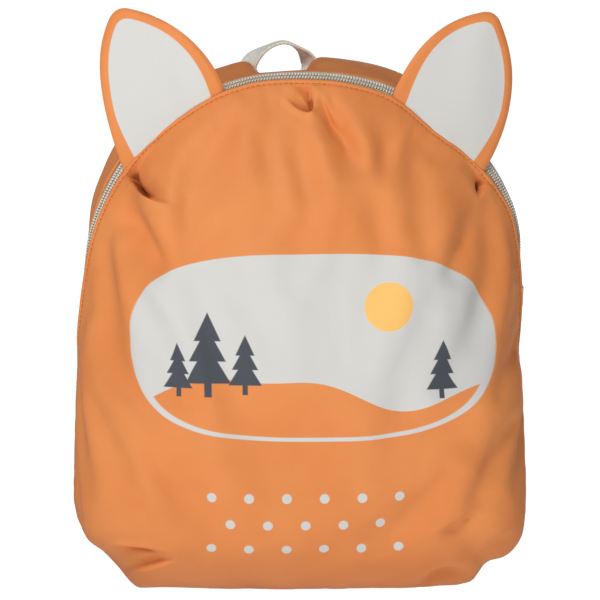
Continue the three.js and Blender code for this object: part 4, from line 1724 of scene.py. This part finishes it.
@dataclass
class Gusset:
    """The cloth band from the zip, or the seam below it, round to the back, and the back panel."""

    outline: Outline
    finishes: Finishes
    steps: int = 22
    rings: int = 26
    zip_cover: float = 9.6
    tucked: float = 1.1
    lapped: float = 0.7
    hem_height: float = 0.4
    ditch: float = 0.9
    back_wall: float = 1.2
    back_roll: float = 1.4
    ripple: Ripple = Ripple(34, 0.7, SEED + 2)
    back_ripple: Ripple = Ripple(40, 0.5, SEED + 3)
    band_flat: tuple[float, float] = (0.066, 0.74)
    band_area: float = 0.026
    back_flat: tuple[float, float] = (0.212, 0.242)
    back_area: float = 0.0445

    def out_at(self, share: float) -> Array:
        """How far the band stands off the outline at a share of its width.

        Args:
            share: 0 at the zip, 1 at the back.

        Returns:
            The distance at each station.
        """
        line = self.outline
        start = line.zipped * line.rear_out
        crown = line.crown * math.sin(math.pi * share)
        return mix(start, line.back_offset + line.drawn, share) + crown - line.dip(share)

    def build(self) -> list[bpy.types.Object]:
        """Makes the band and the back.

        Returns:
            The two pieces.
        """
        line, size = self.outline, self.outline.size
        plain = 1 - line.zipped
        start = line.seam_y + size.gap + line.zipped * self.zip_cover - plain * self.tucked
        end = size.back_y + self.lapped
        rows = []
        for share in np.linspace(0, 1, self.steps + 1):
            y = mix(start, end, share)
            soft = self.ripple.at(line.arc, y) * math.sin(math.pi * share) * smoothstep(line.z, 4, 30)
            hem = self.hem_height * line.zipped * (1 - smoothstep(y - start, 3.0, 4.2))
            ditch = -self.ditch * np.exp(-(end - y) / 1.2) * smoothstep(line.z, 2, 20)
            tuck = -self.tucked * plain * np.exp(-(y - start) / 0.8) * smoothstep(line.z, 2, 20)
            rows.append(line.off(y, self.out_at(share) + soft + hem + ditch + tuck))
        points = np.concatenate(rows)
        points[:, 2] = np.maximum(points[:, 2], 0)
        middle = np.array([0, 20, 112.0])
        band = new_piece("gusset_cloth", points, grid_faces(self.steps + 1, line.count, True), middle)
        thicken(band, size.wall)
        place_piece(band, Slot.CLOTH, self.finishes.cloth, "gusset")
        return [band, self.back()]

    def back(self) -> bpy.types.Object:
        """Makes the back panel, a plain sheet with a slight crown.

        Returns:
            The panel.
        """
        line, size = self.outline, self.outline.size
        edge = line.off(np.zeros(line.count), line.back_offset + line.drawn - line.dip(1))
        edge[:, 2] = np.maximum(edge[:, 2], 0)
        middle = np.array([float(size.lean(size.centre_height)), 0, size.centre_height])
        rest = size.back_y + size.gap + size.back_thick
        shares = np.concatenate([np.linspace(1, 0.97, 4), np.linspace(0.95, 1 / 24, self.rings - 4)])
        rows = []
        for share in shares:
            place = mix(middle, edge, share)
            soft = self.back_ripple.at(place[:, 0], place[:, 2]) * smoothstep(1 - share, 0.01, 0.15)
            roll = -self.back_roll * math.exp(-(1 - share) / 0.012)
            place[:, 1] = rest + size.back_crown * (1 - share**2) + soft + roll
            rows.append(place)
        tip = middle + (0, rest + size.back_crown, 0)
        points = np.vstack([*rows, tip])
        faces = grid_faces(len(shares), line.count, True)
        last = (len(shares) - 1) * line.count
        faces += [(last + i, last + (i + 1) % line.count, len(points) - 1) for i in range(line.count)]
        panel = new_piece("back_cloth", points, faces, size.heart)
        thicken(panel, self.back_wall)
        place_piece(panel, Slot.CLOTH, self.finishes.cloth, "back_panel")
        return panel


@dataclass
class ZipRun:
    """The zip round the arch: two woven tapes and the closed coil between them."""

    outline: Outline
    finishes: Finishes
    grains: GrainRow
    thick: float = 0.9
    under: float = 3.0
    tucked: float = 0.25
    rise: float = 3.9
    slant: float = 6.7
    ramp_start: float = 0.3
    ramp_end: tuple[float, float] = (7.5, 9.6)
    crown_heights: tuple[float, float] = (185.0, 228.0)
    side_share: float = 0.75
    right_gain: float = 0.6
    coil_at: float = 4.3
    coil_lift: float = 0.65
    row_offset: float = 1.0
    pitch: float = 1.35
    grain: tuple[float, float, float] = (1.9, 0.95, 1.1)
    loop_slant: float = 76.0
    samples: int = 1400

    def span(self) -> Array:
        """The numbers of the stations that the zip covers."""
        return np.flatnonzero(self.outline.z > self.outline.size.zip_foot)

    def at(self, across: float, out: float) -> Array:
        """Places on the zip, back from the seam and out from the tapes' face, at its stations.

        Args:
            across: Distance back from the seam.
            out: Distance out from the tapes' face.

        Returns:
            One point per station of the zip.
        """
        line, size = self.outline, self.outline.size
        slope = mix(-line.inset, line.rear_out, np.clip(across / size.zip_width, 0, 1))
        reach = np.hypot(line.x - size.lean(size.centre_height), line.z - size.centre_height)
        fall = line.open * reach / (size.edge_fullness * (line.seam_y - size.front_depth(line.z)))
        tuck = 1.9 * fall * min(0, across)
        ramp = np.clip((across - self.ramp_start) / self.slant, 0, 1)
        ramp = ramp * (1 - smoothstep(across, *self.ramp_end))
        high = smoothstep(line.z, *self.crown_heights)
        rise = self.rise * ramp * smoothstep(line.z, 122, 165) * mix(self.side_share, 1, high)
        rise = rise * (1 + self.right_gain * line.right)
        return line.off(line.seam_y + across, slope + tuck + rise - size.wall - 0.5 + out)[self.span()]

    def tape(self, name: str, start: float, end: float, node: str) -> bpy.types.Object:
        """Makes one tape between two distances from the seam.

        Args:
            name: The piece's name.
            start: Where it starts.
            end: Where it ends.
            node: The CAD node that it stands for.

        Returns:
            The tape.
        """
        columns = np.linspace(start, end, 16)
        rows = []
        for across in columns:
            cord = 0.35 * math.exp(-(((abs(across - self.coil_at) - 2.9) / 0.5) ** 2))
            rows.append(self.at(across, cord))
        points = np.concatenate(rows)
        count = len(rows[0])
        strip = new_piece(name, points, grid_faces(len(columns), count, False), self.outline.size.heart)
        along = lengths_along(rows[0])
        flat = np.stack([np.repeat(columns + 40, count), np.tile(along, len(columns))], axis=1)
        add_layer(strip, "strip", flat)
        thicken(strip, self.thick)
        return place_piece(strip, Slot.TAPE, self.finishes.tape, node)

    def coil(self) -> bpy.types.Object:
        """Makes the closed coil: two rows of slanted loops that mesh in the middle.

        Returns:
            The coil.
        """
        line = self.outline
        numbers = self.span()
        high = smoothstep(line.z, *self.crown_heights)
        slope = (line.rear_out + line.inset) / line.size.zip_width + self.rise / self.slant * high
        out = np.stack([line.normal[:, 0], -slope, line.normal[:, 1]], axis=1)[numbers]
        paths = []
        for row, side in enumerate((-1, 1)):
            first = 3 + row * 2
            path = resample(self.at(self.coil_at + side * self.row_offset, self.coil_lift), self.samples)
            facing = resample(out, self.samples)
            paths.append((path[first:], unit(facing[first:])))
        loops = (self.pitch, self.grain, self.finishes.coil)
        left = self.grains.lay("coil_left", paths[:1], *loops, math.radians(self.loop_slant))
        right = self.grains.lay("coil_right", paths[1:], *loops, math.radians(180 - self.loop_slant))
        with bpy.context.temp_override(active_object=left, selected_editable_objects=[left, right]):
            bpy.ops.object.join()
        left.name = "zip_coil_loops"
        return place_piece(left, Slot.COIL, self.finishes.coil, "zip_coil")

    def build(self) -> list[bpy.types.Object]:
        """Makes the tapes and the coil.

        Returns:
            The three pieces.
        """
        size = self.outline.size
        front = self.tape("zip_tape_near", -self.tucked, self.coil_at - 0.15, "zip_tape_front")
        rear = self.tape("zip_tape_far", self.coil_at + 0.15, size.zip_width + self.under, "zip_tape_rear")
        return [front, rear, self.coil()]


@dataclass
class Ear:
    """One flat sewn ear in the arched seam, with a light panel on its front."""

    outline: Outline
    finishes: Finishes
    side: Side
    rise: float
    shift: float
    bulge: float
    waist: float
    foot: tuple[float, float]
    thick: float = 3.6
    border_foot: float = 8.2
    border_tip: float = 3.9
    border_round: float = 1.2
    bulge_height: float = 222.0
    shoulder: tuple[float, float] = (98.0, 245.0)
    tip: tuple[tuple[float, float], ...] = ((90.0, 264.0), (87.0, 270.5), (80.0, 268.5))
    brow: tuple[float, float] = (58.5, 264.0)
    waist_height: float = 248.0
    centre: tuple[float, float] = (69.0, 238.0)
    bow: float = 1.3
    rings: int = 22

    def edges(self) -> tuple[Array, Array, Array]:
        """The right ear's foot, outer and inner edge seen from the front.

        Returns:
            The three edges' points, in order round the ear.
        """
        line, size = self.outline, self.outline.size
        low = self.side.value * (line.hem_x - self.shift - size.lean(line.hem_z))
        order = np.flatnonzero((line.z > 150) & (low > 0))
        order = order[np.argsort(low[order])]
        across = np.linspace(*self.foot, 50)
        foot = np.stack([across, np.interp(across, low[order], line.hem_z[order]) - 0.5], axis=1)
        outer = bezier(tuple(foot[-1]), (self.bulge, self.bulge_height), self.shoulder, self.tip[0])
        tip = bezier(*self.tip, count=40)
        inner = bezier(self.tip[-1], self.brow, (self.waist, self.waist_height), tuple(foot[0]))
        return foot, np.vstack([outer, tip[1:20]]), np.vstack([tip[19:], inner[1:]])

    def build(self) -> bpy.types.Object:
        """Makes the ear as a thin pillow between its two faces.

        Returns:
            The ear.
        """
        size = self.outline.size
        foot, outer, inner = self.edges()
        loop = resample(np.vstack([foot, outer[1:], inner[1:]]), 241)[:-1]
        centre = np.array(self.centre)
        shares = 1 - np.linspace(0, 1, self.rings) ** 1.6
        rings = np.concatenate([mix(centre, loop, share) for share in shares[:-1]] + [centre[None]])
        to_outer = distance_to(outer, rings)[0]
        to_inner = distance_to(inner, rings)[0]
        free = np.minimum(to_outer, to_inner)
        outer_border = mix(self.border_foot, self.border_tip, smoothstep(rings[:, 1], 186, 222))
        inner_border = mix(self.border_foot - 1.0, self.border_tip + 0.5, smoothstep(rings[:, 1], 222, 262))
        past_outer = (outer_border - to_outer) / self.border_round
        past_inner = (inner_border - to_inner) / self.border_round
        inside = -self.border_round * np.logaddexp(past_outer, past_inner)
        pivot = float(size.arch_height(self.foot[0]))
        z = np.where(rings[:, 1] > pivot, mix(pivot, rings[:, 1], self.rise), rings[:, 1])
        x = self.side.value * rings[:, 0] + self.shift + size.lean(z)
        middle = size.seam_depth(size.arch_height(rings[:, 0])) + size.gap + self.thick / 2
        lift = smoothstep(z, 214, 262)
        uneven = Ripple(24, 0.35, SEED + 5 + self.side.value).at(x, z)
        bow = self.bow * lift * np.cos((rings[:, 0] - 70) / 11) + uneven
        puff = np.sqrt(np.clip(free / 1.8, 0, 1)) * mix(0.34, 0.46, smoothstep(free, 2, 12))
        roll = 0.05 * np.exp(-(((free - 2.6) / 1.5) ** 2))
        half = self.thick * np.maximum(puff + roll, 0.08)
        count = len(rings)
        front = np.stack([x, middle + bow - half, z], axis=1)
        rear = np.stack([x, middle + bow + half, z], axis=1)
        around = len(loop)
        faces = grid_faces(self.rings - 1, around, True)
        last = (self.rings - 2) * around
        faces += [(last + i, last + (i + 1) % around, count - 1) for i in range(around)]
        back_faces = [tuple(count + k for k in reversed(face)) for face in faces]
        rim = [(i, (i + 1) % around, count + (i + 1) % around, count + i) for i in range(around)]
        rim = [tuple(reversed(face)) for face in rim]
        ear = new_piece(f"ear_{self.side.word}_cloth", np.vstack([front, rear]), faces + back_faces + rim)
        add_value(ear, "panel", np.concatenate([inside, np.full(count, -9.0)]))
        place_piece(ear, Slot.CLOTH, self.finishes.ear, f"ear_{self.side.word}")
        return ear


EAR_SHAPES = {
    Side.LEFT: {"rise": 0.98, "shift": -0.9, "bulge": 93.0, "waist": 43.0, "foot": (36.5, 82.0)},
    Side.RIGHT: {"rise": 0.925, "shift": -1.5, "bulge": 102.0, "waist": 48.0, "foot": (40.0, 84.0)},
}


def band_sections(path: Array, wide: Array, section: Array) -> tuple[Array, Array]:
    """Sections of a band along a path.

    Args:
        path: The band's middle line.
        wide: The direction of its width at each point, roughly.
        section: For each point of the path, the section's points as (width, thickness).

    Returns:
        The points [path, section, 3] and the band's thickness direction at each point.
    """
    along = unit(np.gradient(path, axis=0))
    wide = unit(wide - (wide * along).sum(axis=1, keepdims=True) * along)
    thick = np.cross(along, wide)
    points = path[:, None] + section[..., :1] * wide[:, None] + section[..., 1:] * thick[:, None]
    return points, thick


def closed_band(name: str, sections: Array, along: Array, around: Array) -> bpy.types.Object:
    """Makes a closed body from matching sections, with its strip layer.

    Args:
        name: The piece's name.
        sections: Points [path, section, 3].
        along: The distance along the path at each section.
        around: The distance across the strip at each point of a section.

    Returns:
        The new object.
    """
    rows, columns = sections.shape[:2]
    points = sections.reshape(-1, 3)
    faces = grid_faces(rows, columns, True)
    faces.append(tuple(reversed(range(columns))))
    faces.append(tuple(range((rows - 1) * columns, rows * columns)))
    piece = new_piece(name, points, faces)
    flat = np.stack([np.tile(around, rows), np.repeat(along, columns)], axis=1)
    add_layer(piece, "strip", flat)
    return piece


def soft_section(width: float, thick: float, count: int = 28, power: float = 5.0) -> Array:
    """A webbing's section with rounded edges, as points (width, thickness).

    Args:
        width: The webbing's width.
        thick: Its thickness.
        count: How many points go round.
        power: How square it is.

    Returns:
        The section's points.
    """
    turn = np.linspace(0, math.tau, count, endpoint=False)
    across = np.sign(np.cos(turn)) * np.abs(np.cos(turn)) ** (2 / power) * width / 2
    through = np.sign(np.sin(turn)) * np.abs(np.sin(turn)) ** (2 / power) * thick / 2
    return np.stack([across, through], axis=1)


@dataclass
class GrabHandle:
    """The webbing loop in the back seam, whose legs lie on the back and turn edge-on at the top."""

    finishes: Finishes
    grains: GrainRow
    width: float = 12.0
    thick: float = 1.6
    lean: float = 0.6
    edge_on: float = 0.38
    leg_points: int = 17
    stitch_offset: float = 4.4
    stitch_pitch: float = 3.2
    stitch: tuple[float, float, float] = (2.5, 0.5, 0.4)
    path: tuple[tuple[float, float, float], ...] = (
        (-22.5, 49, 226),
        (-22.5, 49, 234),
        (-20.6, 48.8, 240.4),
        (-14.2, 48.4, 246),
        (-4.8, 47, 249.6),
        (3.6, 48.4, 245.6),
        (7, 49, 240.4),
        (8.4, 49, 234),
        (8.4, 49, 226),
    )

    def build(self) -> list[bpy.types.Object]:
        """Makes the loop and the stitches on its legs.

        Returns:
            The two pieces.
        """
        path = spline(self.path, 120)
        share = np.linspace(0, 1, len(path))
        rising = self.lean * smoothstep(share, 0.08, 0.22) + self.edge_on * smoothstep(share, 0.24, 0.46)
        falling = self.edge_on * smoothstep(share, 0.56, 0.78) + self.lean * smoothstep(share, 0.78, 0.92)
        turn = math.pi / 2 * (falling - rising)
        wide = np.stack([np.cos(turn), np.sin(turn), np.zeros(len(turn))], axis=1)
        section = soft_section(self.width, self.thick)
        sections, _ = band_sections(path, wide, np.broadcast_to(section, (len(path), *section.shape)))
        loop = closed_band("handle_webbing", sections, lengths_along(path), section[:, 0])
        place_piece(loop, Slot.WEBBING, self.finishes.handle, "grab_handle")
        rows = []
        for start, end in ((0, self.leg_points), (len(path) - self.leg_points, len(path))):
            for offset in (-self.stitch_offset, self.stitch_offset):
                leg = path[start:end] + wide[start:end] * offset
                leg = leg + (0, self.thick / 2 + 0.1, 0)
                rows.append((leg, np.tile((0.0, 1.0, 0.0), (len(leg), 1))))
        thread = self.finishes.pale_thread
        stitches = self.grains.lay("handle_stitches", rows, self.stitch_pitch, self.stitch, thread)
        return [loop, place_piece(stitches, Slot.WEBBING, thread)]


@dataclass
class ShoulderStrap:
    """One padded shoulder strap with its lock and lower webbing."""

    finishes: Finishes
    grains: GrainRow
    side: Side
    width: float = 36.0
    thick: float = 7.0
    webbing: tuple[float, float] = (20.0, 1.2)
    seam: float = 3.6
    around: int = 56
    stitch_pitch: float = 3.8
    stitch: tuple[float, float, float] = (3.0, 0.5, 0.45)
    path: tuple[tuple[float, float, float], ...] = (
        (30, 52, 220),
        (34, 57.5, 203),
        (43, 66, 170),
        (53, 69, 135),
        (60, 67, 103),
        (65, 62.5, 84),
    )
    foot: tuple[float, float, float] = (80, 49, 28)
    route: tuple[tuple[float, float], ...] = (
        (58, 0.4),
        (46, -1.4),
        (20, -2.6),
        (14.6, -2.4),
        (12.2, 2.1),
        (10.6, 2.6),
        (7.9, 2.6),
        (6, 0.2),
        (6.6, -3.4),
        (10, -4.6),
        (34, -5),
    )

    def mirrored(self, points: Array) -> Array:
        """The points on this strap's side."""
        return points * (self.side.value, 1, 1)

    def pad(self) -> list[bpy.types.Object]:
        """Makes the pad with its bound edge and its two rows of stitches.

        Returns:
            The two pieces.
        """
        path = spline(self.path, 110)
        share = np.linspace(0, 1, len(path))
        narrow = mix(1, 0.72, smoothstep(share, 0.75, 1))
        turn = np.linspace(0, math.tau, self.around, endpoint=False)
        across = np.sign(np.cos(turn)) * np.abs(np.cos(turn)) ** 0.55 * self.width / 2
        edge = self.width / 2 - np.abs(across)
        half = self.thick / 2 * mix(0.42, 1.0, smoothstep(edge, 3.4, 7.5))
        half = half - 0.5 * np.exp(-(((edge - self.seam) / 0.9) ** 2))
        through = np.sign(np.sin(turn)) * np.minimum(half, np.sqrt(np.maximum(edge, 0) * 3.0))
        through = np.broadcast_to(through, (len(path), self.around))
        sections = np.stack([across[None] * narrow[:, None], through], axis=-1)
        ends = np.minimum(share, 1 - share) * lengths_along(path)[-1]
        sections[..., 1] *= mix(0.35, 1.0, smoothstep(ends, 0, 6))[:, None]
        wide = np.tile((1.0, 0.0, 0.0), (len(path), 1))
        points, thick = band_sections(path, wide, sections)
        ripple = Ripple(30, 0.3, SEED + 7).at(points[..., 0], points[..., 2])
        points = points + ripple[..., None] * np.sign(sections[..., 1:]) * thick[:, None]
        pad = closed_band(f"pad_{self.side.word}", self.mirrored(points), lengths_along(path), across)
        place_piece(pad, Slot.CLOTH, self.finishes.pad, f"strap_pad_{self.side.word}")
        away = thick * np.sign(thick[:, 1:2])
        rows = []
        for sign in (-1, 1):
            line = path + wide * (sign * (self.width / 2 - self.seam) * narrow)[:, None] + away * 1.15
            rows.append((self.mirrored(line[3:-3]), self.mirrored(away[3:-3])))
        name = f"pad_stitches_{self.side.word}"
        stitches = self.grains.lay(name, rows, self.stitch_pitch, self.stitch, self.finishes.thread)
        return [pad, place_piece(stitches, Slot.CLOTH, self.finishes.thread)]

    def lower(self) -> bpy.types.Object:
        """Makes the webbing that comes from the seam, goes through the lock and ends in a tail.

        Returns:
            The webbing.
        """
        start = np.array(self.path[-1], float)
        down = unit(np.array(self.foot) - start)
        across = np.array([1.0, 0, 0])
        across = unit(across - (across @ down) * down)
        away = np.cross(down, across)
        away = away * np.sign(away[1])
        route = spline(self.route, 130)
        path = start + route[:, :1] * down + route[:, 1:] * away
        section = soft_section(*self.webbing)
        wide = np.tile(across, (len(path), 1))
        points, _ = band_sections(path, wide, np.broadcast_to(section, (len(path), *section.shape)))
        name = f"webbing_{self.side.word}"
        strip = closed_band(name, self.mirrored(points), lengths_along(path), section[:, 0])
        return place_piece(strip, Slot.WEBBING, self.finishes.handle, f"strap_webbing_{self.side.word}")

    def lock(self) -> bpy.types.Object:
        """Dresses the CAD lock."""
        return dress_node(f"ladder_lock_{self.side.word}", self.finishes.lock)

    def build(self) -> list[bpy.types.Object]:
        """Makes the strap's pieces."""
        return [*self.pad(), self.lower(), self.lock()]


@dataclass
class Studio:
    """Camera, pale floor and soft light."""

    azimuth: float = -3.0
    elevation: float = 6.0
    distance: float = 2.2
    aim: tuple[float, float, float] = (0.0002, 0.0, 0.1328)
    frame_width: float = 0.2775
    sensor: float = 36.0
    floor_reach: float = 16000.0
    shine: float = 1.5
    room_light: float = 0.17
    lamp_aim: tuple[float, float, float] = (0.0, 0.0, 0.12)
    lamps: tuple[tuple[str, tuple[float, float, float], float, float], ...] = (
        ("key", (-0.6, -1.4, 1.5), 0.4, 22.5),
        ("fill", (-1.5, -1.3, 0.5), 1.1, 2.2),
        ("back", (0.7, 2.2, 0.12), 0.8, 20.0),
    )

    def camera(self) -> None:
        """Makes the camera at the photograph's viewing angle."""
        a, e = math.radians(self.azimuth), math.radians(self.elevation)
        ahead = Vector((-math.sin(a) * math.cos(e), math.cos(a) * math.cos(e), -math.sin(e)))
        data = bpy.data.cameras.new("camera")
        data.sensor_width = self.sensor
        data.lens = self.sensor * self.distance / self.frame_width
        data.clip_end = 60.0
        camera = bpy.data.objects.new("camera", data)
        camera.location = Vector(self.aim) - ahead * self.distance
        camera.rotation_mode = "QUATERNION"
        camera.rotation_quaternion = ahead.to_track_quat("-Z", "Y")
        bpy.context.scene.collection.objects.link(camera)
        bpy.context.scene.camera = camera

    def lamp(self, name: str, place: tuple[float, float, float], size: float, power: float) -> None:
        """Makes one soft square lamp that looks at the bag.

        Args:
            name: The lamp's name.
            place: Where it hangs, in metres.
            size: Its side in metres.
            power: Its power in watts.
        """
        data = bpy.data.lights.new(name, "AREA")
        data.size = size
        data.energy = power
        lamp = bpy.data.objects.new(name, data)
        lamp.location = place
        lamp.rotation_mode = "QUATERNION"
        lamp.rotation_quaternion = (Vector(self.lamp_aim) - Vector(place)).to_track_quat("-Z", "Y")
        bpy.context.scene.collection.objects.link(lamp)

    def floor(self) -> None:
        """Makes the floor, wide enough to be the background too."""
        reach = self.floor_reach
        corners = np.array([(-reach, -reach, 0), (reach, -reach, 0), (reach, reach, 0), (-reach, reach, 0)])
        floor = new_piece("floor", corners, [(0, 1, 2, 3)], np.array([0, 0, -1.0]))
        pen = Paint("floor_paper")
        _, y, _ = pen.place()
        seen = pen.field("ShaderNodeLightPath", out="Is Camera Ray")
        shed = 1.15 - y.step(-0.16, 0.06) * 0.9
        share = (seen + (1 - seen) * shed) / self.shine
        glow = pen.blend(share, (0, 0, 0), (255, 255, 255))
        pen.set(base_color=pen.blend(pen.noise(2, 2), (124, 124, 123), (128, 128, 127)), roughness=0.9)
        pen.set(emission_color=glow, emission_strength=self.shine)
        floor.data.materials.append(pen.material)

    def build(self) -> None:
        """Makes floor, lamps and world light."""
        self.floor()
        for row in self.lamps:
            self.lamp(*row)
        world = bpy.data.worlds.new("studio")
        world.use_nodes = True
        pen = Pen(world.node_tree)
        seen = pen.field("ShaderNodeLightPath", out="Is Camera Ray")
        strength = seen * (1 - self.room_light) + self.room_light
        pen.tree.nodes["Background"].inputs["Color"].default_value = (1, 1, 1, 1)
        pen.tree.links.new(strength.socket, pen.tree.nodes["Background"].inputs["Strength"])
        bpy.context.scene.world = world
        bpy.context.scene.view_settings.view_transform = "Standard"


def main() -> None:
    """Builds the bag's pieces in order and dresses them."""
    logging.basicConfig(level=logging.INFO, format="%(name)s: %(message)s")
    studio = Studio()
    studio.camera()
    finishes = Finishes()
    grains = GrainRow()
    outline = Outline(BagSize(), STATIONS)
    front = FrontPanel(outline, finishes)
    pieces = [front.build()]
    pieces += Gusset(outline, finishes).build()
    pieces += ZipRun(outline, finishes, grains).build()
    line = front.stitch_line()
    stitches = grains.lay("zip_stitches", [line], front.stitch_pitch, front.stitch, finishes.thread)
    pieces.append(place_piece(stitches, Slot.CLOTH, finishes.thread))
    for side, shape in EAR_SHAPES.items():
        pieces.append(Ear(outline, finishes, side, **shape).build())
    pieces += GrabHandle(finishes, grains).build()
    for side in Side:
        pieces += ShoulderStrap(finishes, grains, side).build()
    pieces.append(dress_node("zip_slider", finishes.slider))
    log.info("%d pieces in all", len(pieces))
    studio.build()


if __name__ == "__main__":
    main()
